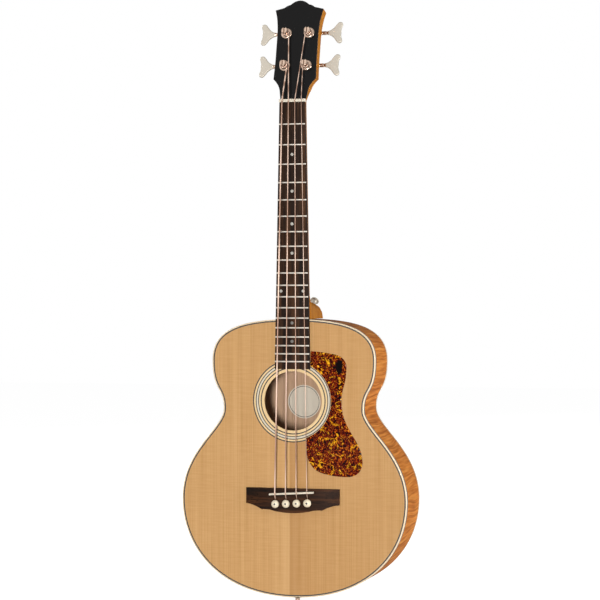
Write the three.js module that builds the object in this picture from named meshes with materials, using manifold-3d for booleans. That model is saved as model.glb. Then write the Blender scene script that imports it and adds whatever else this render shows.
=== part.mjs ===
// Short-scale acoustic bass guitar with four strings and open-gear tuning machines.
// Lengths are millimetres. +Z runs up the neck, the soundboard faces -Y, the treble side is +X.
// Inside the guitar's group, z = 0 is the front of the nut and y = 0 the face of the soundboard.
import * as THREE from 'three';
import { mergeVertices } from 'three/addons/utils/BufferGeometryUtils.js';
import Module from 'manifold-3d';

const wasm = await Module();
wasm.setup();

// Fits shared by all pieces
const seatGap = 0.3;
const overrun = 1;
const weldDistance = 1e-4;
const tidyDistance = 0.005;

// Scale, frets and neck
const scaleLength = 603;
const semitonesPerOctave = 12;
const fretCount = 19;
const bodyFret = 14;
const fretWidth = 2.6;
const fretCrownWidth = 1.2;
const fretHeight = 1.2;
const fretEmbed = 0.5;
const fingerboardThickness = 6;
const fingerboardRadius = 400;
const fingerboardEndWidth = 56.3;
const fingerboardTail = 11.8;
const nutWidth = 41.2;
const nutThickness = 5;
const nutHeight = 9.2;
const nutBackDrop = 1.8;
const neckDepthAtNut = 16;
const neckDepthAtHeel = 18.5;
const volutePeak = 17.4;
const voluteStart = 46;

// Body outline: stations from the top of the body down its centre line
const bodyReveal = 1.6;
const bodyLength = 432;
const upperHalfWidth = 131;
const upperDrop = 64;
const waistHalfWidth = 112.5;
const waistDrop = 140;
const lowerHalfWidth = 180.5;
const lowerDrop = 281;
const rimDepthAtNeck = 86;
const rimDepthAtTail = 104;
const backArch = 14;
const outlineShares = {
  topFlat: 0.66, upperTop: 0.74, upperWaist: 0.66, waistUpper: 0.45,
  waistLower: 0.22, lowerUpper: 0.53, lowerTail: 0.53, tailFlat: 0.66,
};
const outlineSteps = [6, 6, 7, 8];
const archRingShares = [0.78, 0.45];

// Plates, edges and linings
const topThickness = 2.8;
const backThickness = 3;
const sideThickness = 2.4;
const bindingWidth = 2.2;
const bindingHeight = 6.5;
const purflingWidth = 1.7;
const purflingDepth = 1.5;
const liningWidth = 6;
const liningHeight = 14;

// Soundhole and rosette
const holeDrop = 126.9;
const holeRadius = 46.2;
const rosetteDepth = 1.2;
const rosetteInner = { inner: 50.4, outer: 52.2 };
const rosetteBand = { inner: 54.9, outer: 60.2 };
const rosetteOuter = { inner: 62.8, outer: 64.6 };
const rosetteSegments = 28;

// Blocks inside the body
const neckBlockWidth = 90;
const neckBlockLength = 62;
const tailBlockWidth = 84;
const tailBlockLength = 24;

// Braces under the soundboard
const braceWidth = 8;
const braceHeight = 14;
const braceTipHeight = 4;
const braceTipShare = 0.14;
const crossBelowHole = 31;
const crossHalfAngle = 47;
const upperLegLength = 138;
const lowerLegLength = 200;
const transverseBraceDrop = 69;
const transverseBraceLength = 226;
const transverseBraceWidth = 12;
const transverseBraceHeight = 17;
const wrenchHoleRadius = 4.6;
const toneBarRiseShare = 0.34;
const toneBarUpperPlaceShare = 0.34;
const toneBarUpperLengthShare = 0.8;
const toneBarLowerPlaceShare = 0.81;
const toneBarLowerLengthShare = 0.55;
const toneBarHeight = 11;
const platePinAhead = 23;
const platePinBehind = 19;
const plateTopHalfWidth = 54;
const plateBottomHalfWidth = 82;
const bridgePlateThickness = 2.5;

// Bridge, saddle and pins
const compensation = 2.7;
const saddleLength = 71.4;
const saddleSlant = 4.2;
const saddleWidth = 3;
const saddleRise = 3.5;
const saddleDepth = 5;
const bridgeHalfWidth = 75;
const bridgeHeight = 9;
const bridgeWingHeight = 3;
const bridgeWingLength = 23;
const bridgeFront = 7.4;
const bridgeWingBack = 17.3;
const bridgeCuspX = 47.4;
const bridgeCuspBack = 26;
const bridgeNotch = 1.6;
const bridgeBellyX = 35;
const bridgeBellyBack = 30.6;
const pinSetback = 15.7;
const pinSlant = 2.4;
const pinShankTopRadius = 4;
const pinShankTipRadius = 3;
const pinShankLength = 26;
const pinHeadRadius = 6.2;
const pinHeadHeight = 5;
const pinCollarHeight = 1.2;
const pinLift = 1.6;

// Strings, from the bass side: diameters and the spread at the nut and at the bridge
const thickestString = 2.4;
const stringDiameterShares = [1, 0.79, 0.625, 0.46];
const stringNames = ['e', 'a', 'd', 'g'];
const nutSpread = 30.5;
const bridgeSpread = 51.2;
const nutAction = 0.6;
const ballRadius = 2.3;
const ballLength = 4;
const stringFromPin = 4.4;
const windingTurns = 1.25;
const windingGap = 0.55;
const windingSteps = 24;
const stringSides = 6;
const bendRadius = 2.4;

// Headstock, in its own tilted frame: x across, depth behind the face, along from the nut
const headstockTilt = 15;
const headstockThickness = 16.5;
const veneerThickness = 2;
const veneerStart = 0.9;
const throatHalfWidth = 23;
const throatLength = 16;
const throatSquareLength = 23;
const throatSquareHalfWidth = 25.3;
const throatFlare = 1.8;
const shoulderHalfWidth = 34.1;
const shoulderAlong = 34;
const flankHalfWidth = 33.1;
const flankLowAlong = 62;
const flankHighAlong = 110;
const cornerHalfWidth = 38.9;
const cornerAlong = 149.6;
const stepHalfWidth = 24.3;
const stepAlong = 153.4;
const crownHalfWidth = 15.4;
const crownBaseAlong = 157.8;
const crownAlong = 165;

// Tuning machines
const postPlaces = [
  { side: -1, x: 17.3, along: 55.8 },
  { side: -1, x: 18.3, along: 109.8 },
  { side: 1, x: 18.3, along: 109.8 },
  { side: 1, x: 17.3, along: 55.8 },
];
const postRadius = 5;
const postWaistRadius = 3.6;
const postWaistStart = 2.7;
const postWaistEnd = 10.8;
const postTip = 14.6;
const postSlotWidth = 2.8;
const postSlotDepth = 3.5;
const postEndRadius = 3;
const postSegments = 12;
const postClearance = 0.3;
const bushingFlangeRadius = 8.8;
const bushingFlangeHeight = 2.4;
const bushingBarrelRadius = 6.6;
const bushingBarrelLength = 10;
const basePlateThickness = 1.5;
const basePlateHalfWidth = 13;
const basePlateBelow = 11.5;
const basePlateAbove = 13.5;
const basePlateCorner = 5;
const lugOffset = 9.8;
const lugThickness = 2.2;
const lugHalfWidth = 3.4;
const lugHead = 3.4;
const gearTeeth = 16;
const gearModule = 0.75;
const gearTipRise = 0.4;
const gearRootDrop = 1.05;
const gearThickness = 4.4;
const gearLift = 1.3;
const gearToothTip = 0.4;
const gearToothRoot = 1;
const wormPitchRadius = 2.3;
const wormTipRise = 0.55;
const wormRootDrop = 0.9;
const wormThreadTip = 0.4;
const wormThreadRoot = 0.95;
const wormThreadTurns = 3.5;
const wormSteps = 8;
const wormShaftRadius = 1.7;
const wormShaftClearance = 0.3;
const keyCollarRadius = 3.2;
const keyWaistRadius = 2.8;
const keyNeckLength = 6;
const keyPaddleStart = 24.1;
const keyPaddleEnd = 48.3;
const keyHalfHeight = 17.8;
const keyThickness = 4.4;
const keyBevel = 0.9;

// Heel, strap button and end pin
const heelRise = 27;
const heelHalfWidth = 26.6;
const heelCapHalfWidth = 26;
const heelSweepShares = [3.3, 2.1, 1.5, 1.2, 1.06, 1];
const heelDepthShares = [0.14, 0.22, 0.33, 0.5, 0.75, 1];
const tenonHalfWidth = 14;
const tenonLength = 20;
const tenonDepth = 64;
const buttonSeatX = 10;
const buttonSeatRise = 20;
const buttonSeatInset = 4.5;
const buttonLeanSideways = 0.2;
const buttonLeanBack = 0.72;
const buttonLeanUp = 0.66;
const buttonBaseRadius = 5.4;
const buttonWaistRadius = 3.8;
const buttonFlangeRadius = 7;
const buttonHeight = 13;
const buttonFlangeHeight = 3.4;
const buttonShankLength = 9;
const buttonShankRadius = 2.2;
const endPinDepth = 28;
const endPinShankRadius = 5;
const endPinShankLength = 18;

// Truss rod
const rodWidth = 6;
const rodHeight = 8.4;
const rodDepth = 9.3;
const rodStart = 2.8;
const rodHeelMargin = 3;
const rodThreadRadius = 2;
const rodThreadTail = 16;
const rodNutRadius = 3.8;
const rodNutLength = 12;
const rodNutOffset = 2.5;

// Pickguard
const pickguardThickness = 1.5;
const pickguardHoleMargin = 0.8;
const pickguardReach = 111.5;
const pickguardDrop = 243.3;

// Hanger: the throat of the neck, where a wall hanger's yoke carries the headstock's shoulders
const hangerDepth = 8;
const hangerHeight = 14;

// Places that follow from the sizes above
const degrees = Math.PI / 180;
const stringDiameters = stringDiameterShares.map((share) => share * thickestString);
const tilt = headstockTilt * degrees;
const bodyTop = -(fretDistance(bodyFret) + bodyReveal);
const bodyBottom = bodyTop - bodyLength;
const holeCentre = bodyTop - holeDrop;
const fingerboardEnd = -(fretDistance(fretCount) + fingerboardTail);
const crossCentre = holeCentre - holeRadius - crossBelowHole;
const saddleCentre = -(scaleLength + compensation);
const pinCentre = saddleCentre - pinSetback;
const headstockBack = veneerThickness + headstockThickness;
const plateBack = headstockBack + basePlateThickness;
const gearCentre = plateBack + gearLift + gearThickness / 2;
const gearPitchRadius = gearTeeth * gearModule / 2;
const wormLead = Math.PI * gearModule;
const wormOffset = gearPitchRadius + wormPitchRadius;
const plateUnderside = topThickness + bridgePlateThickness;
const rodEnd = bodyTop + rodHeelMargin;
const rodThreadEnd = bodyTop - tenonLength - rodThreadTail;
const keyCollarStart = lugOffset + lugThickness / 2 + seatGap;

function fretDistance(fret) {
  return scaleLength * (1 - 2 ** (-fret / semitonesPerOctave));
}

function fingerboardHalfWidth(z) {
  return THREE.MathUtils.lerp(nutWidth, fingerboardEndWidth, z / fingerboardEnd) / 2;
}

function rimDepth(z) {
  return THREE.MathUtils.lerp(rimDepthAtNeck, rimDepthAtTail, (bodyTop - z) / bodyLength);
}

function saddleZ(x) {
  return saddleCentre + x * saddleSlant / saddleLength;
}

function pinZ(x) {
  return pinCentre + x * pinSlant / bridgeSpread;
}

function spreadX(index, spread) {
  return (index / (stringDiameters.length - 1) - 0.5) * spread;
}

// Solids: joining and cutting closed meshes

function toSolid(geometry) {
  const bare = new THREE.BufferGeometry();
  bare.setAttribute('position', geometry.getAttribute('position').clone());
  if (geometry.index) bare.setIndex(geometry.index.clone());
  const merged = mergeVertices(bare, weldDistance);
  const vertProperties = Float32Array.from(merged.getAttribute('position').array);
  const triVerts = Uint32Array.from(merged.index.array);
  return new wasm.Manifold(new wasm.Mesh({ numProp: 3, vertProperties, triVerts }));
}

function toGeometry(solid) {
  const mesh = solid.simplify(tidyDistance).getMesh();
  const geometry = new THREE.BufferGeometry();
  geometry.setAttribute('position', new THREE.BufferAttribute(mesh.vertProperties, 3));
  geometry.setIndex(new THREE.BufferAttribute(mesh.triVerts, 1));
  return geometry;
}

function join(...geometries) {
  return toGeometry(geometries.map(toSolid).reduce((whole, piece) => whole.add(piece)));
}

function cut(geometry, ...tools) {
  return toGeometry(tools.map(toSolid).reduce((rest, tool) => rest.subtract(tool), toSolid(geometry)));
}

function common(geometry, other) {
  return toGeometry(toSolid(geometry).intersect(toSolid(other)));
}

function facedOutward(geometry) {
  const position = geometry.getAttribute('position');
  const index = geometry.index;
  const [a, b, c] = [new THREE.Vector3(), new THREE.Vector3(), new THREE.Vector3()];
  let volume = 0;
  for (let i = 0; i < index.count; i += 3) {
    a.fromBufferAttribute(position, index.getX(i));
    b.fromBufferAttribute(position, index.getX(i + 1));
    c.fromBufferAttribute(position, index.getX(i + 2));
    volume += a.dot(b.cross(c));
  }
  if (volume < 0) {
    for (let i = 0; i < index.count; i += 3) {
      const first = index.getX(i);
      index.setX(i, index.getX(i + 1));
      index.setX(i + 1, first);
    }
  }
  return geometry;
}

// A mirror image across the centre plane, for the bass side
function mirrored(geometry) {
  const copy = geometry.clone();
  if (!copy.index) return mirrored(mergeVertices(copy));
  copy.scale(-1, 1, 1);
  return facedOutward(copy);
}

// Basic forms

function box(x0, x1, y0, y1, z0, z1) {
  const geometry = new THREE.BoxGeometry(x1 - x0, y1 - y0, z1 - z0);
  return geometry.translate((x0 + x1) / 2, (y0 + y1) / 2, (z0 + z1) / 2);
}

// An outline drawn in x and z, made solid from depth y0 back to depth y1
function plate(shape, y0, y1, curveSegments = 6) {
  const geometry = new THREE.ExtrudeGeometry(shape, { depth: y1 - y0, bevelEnabled: false, curveSegments });
  return geometry.rotateX(Math.PI / 2).translate(0, y1, 0);
}

// A round bar along Y, from y0 back to y1
function barAlongY(radius, y0, y1, segments = 18) {
  return new THREE.CylinderGeometry(radius, radius, y1 - y0, segments).translate(0, (y0 + y1) / 2, 0);
}

function barAlongX(radius, x0, x1, segments = 12) {
  const geometry = new THREE.CylinderGeometry(radius, radius, x1 - x0, segments);
  return geometry.rotateZ(-Math.PI / 2).translate((x0 + x1) / 2, 0, 0);
}

function barAlongZ(radius, z0, z1, segments = 12) {
  const geometry = new THREE.CylinderGeometry(radius, radius, z1 - z0, segments);
  return geometry.rotateX(Math.PI / 2).translate(0, 0, (z0 + z1) / 2);
}

// A profile of [radius, y] pairs turned about Y
function turned(profile, segments) {
  const points = profile.map(([radius, y]) => new THREE.Vector2(radius, y));
  const bare = new THREE.LatheGeometry(points, segments);
  bare.deleteAttribute('normal');
  bare.deleteAttribute('uv');
  return facedOutward(mergeVertices(bare, weldDistance));
}

function ringPlate(inner, outer, y0, y1, segments) {
  return turned([[inner, y0], [outer, y0], [outer, y1], [inner, y1], [inner, y0]], segments);
}

function capTriangles(ring) {
  const normal = new THREE.Vector3();
  const centre = new THREE.Vector3();
  ring.forEach((point, i) => {
    const next = ring[(i + 1) % ring.length];
    normal.add(new THREE.Vector3().crossVectors(point, next));
    centre.add(point);
  });
  centre.divideScalar(ring.length);
  normal.normalize();
  const across = new THREE.Vector3().subVectors(ring[0], centre).normalize();
  across.addScaledVector(normal, -across.dot(normal)).normalize();
  const up = new THREE.Vector3().crossVectors(normal, across);
  const flat = ring.map((point) => {
    const offset = new THREE.Vector3().subVectors(point, centre);
    return new THREE.Vector2(offset.dot(across), offset.dot(up));
  });
  return THREE.ShapeUtils.triangulateShape(flat, []);
}

// Rings of equally many points joined in order, with flat ends unless the rings run in a circle
function loft(rings, closed = false) {
  const count = rings[0].length;
  const positions = rings.flatMap((ring) => ring.flatMap((point) => [point.x, point.y, point.z]));
  const triangles = [];
  const spans = closed ? rings.length : rings.length - 1;
  for (let i = 0; i < spans; i++) {
    const here = i * count;
    const there = ((i + 1) % rings.length) * count;
    for (let k = 0; k < count; k++) {
      const next = (k + 1) % count;
      triangles.push(here + k, here + next, there + next);
      triangles.push(here + k, there + next, there + k);
    }
  }
  if (!closed) {
    const last = (rings.length - 1) * count;
    for (const [a, b, c] of capTriangles(rings[0])) triangles.push(a, c, b);
    for (const [a, b, c] of capTriangles(rings[rings.length - 1])) triangles.push(last + a, last + b, last + c);
  }
  const geometry = new THREE.BufferGeometry();
  geometry.setAttribute('position', new THREE.Float32BufferAttribute(positions, 3));
  geometry.setIndex(triangles);
  return facedOutward(geometry);
}

// A tube of few sides through points, each with its own radius
function tube(points, radii, sides) {
  const rings = [];
  const normal = new THREE.Vector3(1, 0, 0);
  for (let i = 0; i < points.length; i++) {
    const before = points[Math.max(i - 1, 0)];
    const after = points[Math.min(i + 1, points.length - 1)];
    const tangent = new THREE.Vector3().subVectors(after, before).normalize();
    normal.addScaledVector(tangent, -normal.dot(tangent)).normalize();
    const binormal = new THREE.Vector3().crossVectors(tangent, normal);
    const ring = [];
    for (let k = 0; k < sides; k++) {
      const angle = 2 * Math.PI * k / sides;
      const point = points[i].clone();
      point.addScaledVector(normal, radii[i] * Math.cos(angle));
      point.addScaledVector(binormal, radii[i] * Math.sin(angle));
      ring.push(point);
    }
    rings.push(ring);
  }
  return loft(rings);
}

// The scene: one named mesh for each piece

const guitar = new THREE.Group();
guitar.position.set(0, -hangerDepth, -(nutThickness + hangerHeight));
const headstock = new THREE.Group();
headstock.position.set(0, 0, nutThickness);
headstock.rotation.x = -tilt;
guitar.add(headstock);

const finishes = {
  spruce: { color: 0xcda573, roughness: 0.35, metalness: 0 },
  maple: { color: 0xd7914a, roughness: 0.25, metalness: 0 },
  brace: { color: 0xd9bd8c, roughness: 0.7, metalness: 0 },
  mahogany: { color: 0xc87828, roughness: 0.3, metalness: 0 },
  rosewood: { color: 0x33261c, roughness: 0.55, metalness: 0 },
  black: { color: 0x191816, roughness: 0.15, metalness: 0 },
  ivory: { color: 0xfae1be, roughness: 0.3, metalness: 0 },
  purfling: { color: 0x5c4a30, roughness: 0.5, metalness: 0 },
  pearl: { color: 0xa08c6c, roughness: 0.4, metalness: 0 },
  tortoise: { color: 0x6a2c14, roughness: 0.12, metalness: 0 },
  bronze: { color: 0xc98f6c, roughness: 0.35, metalness: 1 },
  nickel: { color: 0xd8cfc0, roughness: 0.2, metalness: 1 },
  brass: { color: 0xc0a060, roughness: 0.3, metalness: 1 },
  steel: { color: 0x8a8a8c, roughness: 0.35, metalness: 1 },
};

function addPiece(parent, name, geometry, finish) {
  const mesh = new THREE.Mesh(geometry, new THREE.MeshStandardMaterial(finishes[finish]));
  mesh.name = name;
  parent.add(mesh);
  return mesh;
}

// Body outline

function outlineCurves() {
  const share = outlineShares;
  const point = (x, drop) => new THREE.Vector2(x, bodyTop - drop);
  const toWaist = waistDrop - upperDrop;
  const toLower = lowerDrop - waistDrop;
  const toTail = bodyLength - lowerDrop;
  return [
    new THREE.CubicBezierCurve(
      point(0, 0), point(share.topFlat * upperHalfWidth, 0),
      point(upperHalfWidth, upperDrop * (1 - share.upperTop)), point(upperHalfWidth, upperDrop)),
    new THREE.CubicBezierCurve(
      point(upperHalfWidth, upperDrop), point(upperHalfWidth, upperDrop + share.upperWaist * toWaist),
      point(waistHalfWidth, waistDrop - share.waistUpper * toWaist), point(waistHalfWidth, waistDrop)),
    new THREE.CubicBezierCurve(
      point(waistHalfWidth, waistDrop), point(waistHalfWidth, waistDrop + share.waistLower * toLower),
      point(lowerHalfWidth, lowerDrop - share.lowerUpper * toLower), point(lowerHalfWidth, lowerDrop)),
    new THREE.CubicBezierCurve(
      point(lowerHalfWidth, lowerDrop), point(lowerHalfWidth, lowerDrop + share.lowerTail * toTail),
      point(share.tailFlat * lowerHalfWidth, bodyLength), point(0, bodyLength)),
  ];
}

// Stations down the treble side, each with its outward direction
function outlineStations() {
  const stations = [];
  outlineCurves().forEach((curve, number) => {
    const steps = outlineSteps[number];
    for (let i = number === 0 ? 0 : 1; i <= steps; i++) {
      const place = curve.getPoint(i / steps);
      const along = curve.getTangent(i / steps);
      stations.push({ x: place.x, z: place.y, outX: -along.y, outZ: along.x });
    }
  });
  stations[0].outX = 0;
  stations[stations.length - 1].outX = 0;
  return stations;
}

const stations = outlineStations();

function insetPoint(station, inset) {
  return new THREE.Vector2(station.x - inset * station.outX, station.z - inset * station.outZ);
}

// The whole outline moved inward, from the top of the body down the treble side and back
function bodyOutline(inset) {
  const half = stations.map((station) => insetPoint(station, inset));
  const back = half.slice(1, -1).reverse().map((point) => new THREE.Vector2(-point.x, point.y));
  return [...half, ...back];
}

function bodyShape(inset) {
  return new THREE.Shape(bodyOutline(inset));
}

// A strip of four corners round the whole edge; depths are functions of z
function edgeStrip(insetOuter, insetInner, frontDepth, backDepth) {
  const outer = bodyOutline(insetOuter);
  const inner = bodyOutline(insetInner);
  const rings = outer.map((point, i) => [
    new THREE.Vector3(point.x, frontDepth(point.y), point.y),
    new THREE.Vector3(point.x, backDepth(point.y), point.y),
    new THREE.Vector3(inner[i].x, backDepth(inner[i].y), inner[i].y),
    new THREE.Vector3(inner[i].x, frontDepth(inner[i].y), inner[i].y),
  ]);
  return loft(rings, true);
}

// Pieces of the body

function makeSoundboard() {
  const rebate = bindingWidth + seatGap;
  const face = bodyShape(bindingWidth + seatGap + purflingWidth + seatGap);
  const upper = plate(face, 0, topThickness);
  const lower = plate(bodyShape(rebate), purflingDepth + seatGap, topThickness);
  const tools = [barAlongY(holeRadius, -overrun, topThickness + overrun, rosetteSegments)];
  for (const ring of [rosetteInner, rosetteBand, rosetteOuter]) {
    const inner = ring.inner - seatGap;
    const outer = ring.outer + seatGap;
    tools.push(ringPlate(inner, outer, -overrun, rosetteDepth + seatGap, rosetteSegments));
  }
  tools.forEach((tool) => tool.translate(0, 0, holeCentre));
  return cut(join(upper, lower), ...tools, ...stringHoles());
}

function makeRosetteRing(ring) {
  const geometry = ringPlate(ring.inner, ring.outer, 0, rosetteDepth, rosetteSegments);
  return geometry.translate(0, 0, holeCentre);
}

function makeBackPlate() {
  const inset = bindingWidth + seatGap;
  const edge = bodyOutline(inset);
  const middle = new THREE.Vector2(0, (bodyTop + bodyBottom) / 2);
  const positions = [];
  const shell = (offset) => {
    for (const share of [1, ...archRingShares]) {
      for (const point of edge) {
        const place = middle.clone().lerp(point, share);
        positions.push(place.x, rimDepth(place.y) + backArch * (1 - share ** 2) - offset, place.y);
      }
    }
    positions.push(middle.x, rimDepth(middle.y) + backArch - offset, middle.y);
  };
  shell(0);
  shell(backThickness);
  const count = edge.length;
  const rings = archRingShares.length + 1;
  const shellSize = rings * count + 1;
  const triangles = [];
  for (const start of [0, shellSize]) {
    for (let i = 0; i < rings; i++) {
      for (let k = 0; k < count; k++) {
        const next = (k + 1) % count;
        const a = start + i * count + k;
        const b = start + i * count + next;
        const isLast = i === rings - 1;
        const c = isLast ? start + shellSize - 1 : a + count;
        if (start === 0) triangles.push(a, b, c);
        else triangles.push(a, c, b);
        if (isLast) continue;
        if (start === 0) triangles.push(b, b + count, c);
        else triangles.push(b, c, b + count);
      }
    }
  }
  for (let k = 0; k < count; k++) {
    const next = (k + 1) % count;
    triangles.push(k, k + shellSize, next, next, k + shellSize, next + shellSize);
  }
  const geometry = new THREE.BufferGeometry();
  geometry.setAttribute('position', new THREE.Float32BufferAttribute(positions, 3));
  geometry.setIndex(triangles);
  return facedOutward(geometry);
}

// One bent side with its linings, which stop at the blocks
function makeRim() {
  const bindingInset = bindingWidth + seatGap;
  const atNeckBlock = (station) => station.z > holeCentre && station.x < neckBlockWidth / 2;
  const atTailBlock = (station) => station.z < pinCentre && station.x < tailBlockWidth / 2;
  const atBlock = stations.map((station) => atNeckBlock(station) || atTailBlock(station));
  const rings = stations.map((station, i) => {
    const nearBlock = atBlock[i] || atBlock[i - 1] || atBlock[i + 1];
    const lining = sideThickness + (nearBlock ? seatGap : liningWidth);
    const at = (inset, fromBack, depth) => {
      const place = insetPoint(station, inset);
      const y = fromBack ? rimDepth(place.y) - depth : depth;
      return new THREE.Vector3(Math.max(place.x, seatGap / 2), y, place.y);
    };
    return [
      at(0, false, bindingHeight + seatGap),
      at(bindingInset, false, bindingHeight + seatGap),
      at(bindingInset, false, topThickness),
      at(lining, false, topThickness),
      at(sideThickness, false, topThickness + liningHeight),
      at(sideThickness, true, backThickness + liningHeight),
      at(lining, true, backThickness + seatGap),
      at(bindingInset, true, backThickness + seatGap),
      at(bindingInset, true, bindingHeight + seatGap),
      at(0, true, bindingHeight + seatGap),
    ];
  });
  const halfTenon = tenonHalfWidth + seatGap;
  const tenonBack = tenonTop() + tenonDepth + seatGap;
  const inward = bodyTop - sideThickness - liningWidth - overrun;
  const mortise = box(-halfTenon, halfTenon, tenonTop() - seatGap, tenonBack, inward, bodyTop + overrun);
  return cut(loft(rings), mortise, endPinBore());
}

function tenonTop() {
  return bindingHeight + seatGap;
}

function endPinBore() {
  const radius = endPinShankRadius + seatGap;
  const bore = barAlongZ(radius, bodyBottom - overrun, bodyBottom + tailBlockLength + overrun * 4);
  return bore.translate(0, endPinDepth, 0);
}

// The space inside the sides between the top and the back plate
function cavity() {
  const outline = bodyOutline(sideThickness + seatGap);
  const front = outline.map((point) => new THREE.Vector3(point.x, topThickness, point.y));
  const back = outline.map((point) => {
    return new THREE.Vector3(point.x, rimDepth(point.y) - backThickness - seatGap, point.y);
  });
  return loft([front, back]);
}

function makeNeckBlock() {
  const half = neckBlockWidth / 2;
  const deep = rimDepthAtTail;
  const block = common(cavity(), box(-half, half, 0, deep, bodyTop - neckBlockLength, bodyTop));
  const halfTenon = tenonHalfWidth + seatGap;
  const tenonBack = tenonTop() + tenonDepth + seatGap;
  const mortiseEnd = bodyTop - tenonLength - seatGap;
  const mortise = box(-halfTenon, halfTenon, tenonTop() - seatGap, tenonBack, mortiseEnd, bodyTop + overrun);
  const wrenchWay = barAlongZ(wrenchHoleRadius, bodyTop - neckBlockLength - overrun, bodyTop + overrun);
  return cut(block, mortise, wrenchWay.translate(0, rodDepth, 0));
}

function makeTailBlock() {
  const half = tailBlockWidth / 2;
  const deep = rimDepthAtTail;
  const block = common(cavity(), box(-half, half, 0, deep, bodyBottom, bodyBottom + tailBlockLength));
  return cut(block, endPinBore());
}

// A brace: its side outline, low at the tips, made solid across its width and laid on the top
function braceBar(length, width, height, tipHeight) {
  const half = length / 2;
  const tip = length * braceTipShare;
  const side = new THREE.Shape();
  side.moveTo(-half, 0);
  side.lineTo(half, 0);
  side.lineTo(half, tipHeight);
  side.quadraticCurveTo(half - tip, tipHeight, half - tip * 2, height);
  side.lineTo(-half + tip * 2, height);
  side.quadraticCurveTo(-half + tip, tipHeight, -half, tipHeight);
  const bar = new THREE.ExtrudeGeometry(side, { depth: width, bevelEnabled: false, curveSegments: 3 });
  return bar.translate(0, 0, -width / 2).translate(0, topThickness, 0);
}

function crossLeg(side) {
  const length = upperLegLength + lowerLegLength;
  const bar = braceBar(length, braceWidth, braceHeight, braceTipHeight);
  bar.translate((lowerLegLength - upperLegLength) / 2, 0, 0);
  bar.rotateY((90 - side * crossHalfAngle) * degrees);
  return bar.translate(0, 0, crossCentre);
}

function crossNotch(side, y0, y1) {
  const half = braceWidth / 2 + seatGap;
  const reach = braceWidth * 2;
  const notch = box(-reach, reach, y0, y1, -half, half);
  notch.rotateY((90 - side * crossHalfAngle) * degrees);
  return notch.translate(0, 0, crossCentre);
}

function makeTransverseBrace() {
  const z = bodyTop - transverseBraceDrop;
  const bar = braceBar(transverseBraceLength, transverseBraceWidth, transverseBraceHeight, braceTipHeight);
  const wide = transverseBraceWidth;
  const hole = barAlongZ(wrenchHoleRadius, -wide, wide).translate(0, rodDepth, 0);
  return cut(bar, hole).translate(0, 0, z);
}

// A slanted bar: long by the lower bout's width, steep by the room from bridge plate to tail block
function makeToneBar(placeShare, lengthShare) {
  const margin = braceWidth / 2 + seatGap;
  const roomTop = pinCentre - platePinBehind - margin;
  const room = roomTop - (bodyBottom + tailBlockLength + margin);
  const bar = braceBar(lowerHalfWidth * lengthShare, braceWidth, toneBarHeight, braceTipHeight);
  bar.rotateY(Math.asin(room * toneBarRiseShare / (lowerHalfWidth / 2)));
  return bar.translate(0, 0, roomTop - room * placeShare);
}

function makeBridgePlate() {
  const top = pinCentre + platePinAhead;
  const bottom = pinCentre - platePinBehind;
  const shape = new THREE.Shape([
    new THREE.Vector2(-plateTopHalfWidth, top), new THREE.Vector2(plateTopHalfWidth, top),
    new THREE.Vector2(plateBottomHalfWidth, bottom), new THREE.Vector2(-plateBottomHalfWidth, bottom),
  ]);
  return cut(plate(shape, topThickness, plateUnderside), ...stringHoles());
}

// Each string's hole: round for the pin, with a slot ahead of it for the string
function stringHoles() {
  const deep = plateUnderside + overrun;
  return stringDiameters.flatMap((diameter, i) => {
    const x = spreadX(i, bridgeSpread);
    const z = pinZ(x);
    const half = diameter / 2 + seatGap;
    const round = barAlongY(pinShankTopRadius + seatGap, -bridgeHeight * 2, deep, 12);
    const slot = box(x - half, x + half, -bridgeHeight * 2, deep, z, z + stringFromPin + half);
    return [join(round.translate(x, 0, z), slot)];
  });
}

function makeBridge() {
  const shape = new THREE.Shape();
  shape.moveTo(-bridgeHalfWidth, bridgeFront);
  shape.lineTo(bridgeHalfWidth, bridgeFront);
  shape.lineTo(bridgeHalfWidth, -bridgeWingBack);
  shape.quadraticCurveTo(bridgeHalfWidth - bridgeWingLength / 2, -bridgeWingBack, bridgeCuspX, -bridgeCuspBack);
  shape.lineTo(bridgeCuspX - bridgeNotch, -bridgeCuspBack + bridgeNotch / 2);
  shape.lineTo(bridgeBellyX, -bridgeCuspBack);
  shape.quadraticCurveTo(bridgeBellyX / 2, -bridgeBellyBack, 0, -bridgeBellyBack);
  shape.quadraticCurveTo(-bridgeBellyX / 2, -bridgeBellyBack, -bridgeBellyX, -bridgeCuspBack);
  shape.lineTo(bridgeNotch - bridgeCuspX, -bridgeCuspBack + bridgeNotch / 2);
  shape.lineTo(-bridgeCuspX, -bridgeCuspBack);
  shape.quadraticCurveTo(bridgeWingLength / 2 - bridgeHalfWidth, -bridgeWingBack, -bridgeHalfWidth,
    -bridgeWingBack);
  const slab = plate(shape, -bridgeHeight, 0, 5).translate(0, 0, saddleCentre);
  const shoulder = bridgeHalfWidth - bridgeWingLength;
  const profile = new THREE.Shape([
    new THREE.Vector2(-bridgeHalfWidth, 0), new THREE.Vector2(-bridgeHalfWidth, -bridgeWingHeight),
    new THREE.Vector2(-shoulder, -bridgeHeight), new THREE.Vector2(shoulder, -bridgeHeight),
    new THREE.Vector2(bridgeHalfWidth, -bridgeWingHeight), new THREE.Vector2(bridgeHalfWidth, 0),
  ]);
  const deep = bridgeFront + bridgeBellyBack + overrun * 2;
  const face = new THREE.ExtrudeGeometry(profile, { depth: deep, bevelEnabled: false });
  face.translate(0, 0, saddleCentre - bridgeBellyBack - overrun);
  const slot = saddleBlank(saddleLength + seatGap * 2, saddleWidth + seatGap * 2, overrun);
  return cut(common(slab, face), slot, ...stringHoles(), ...stringRamps());
}

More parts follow.
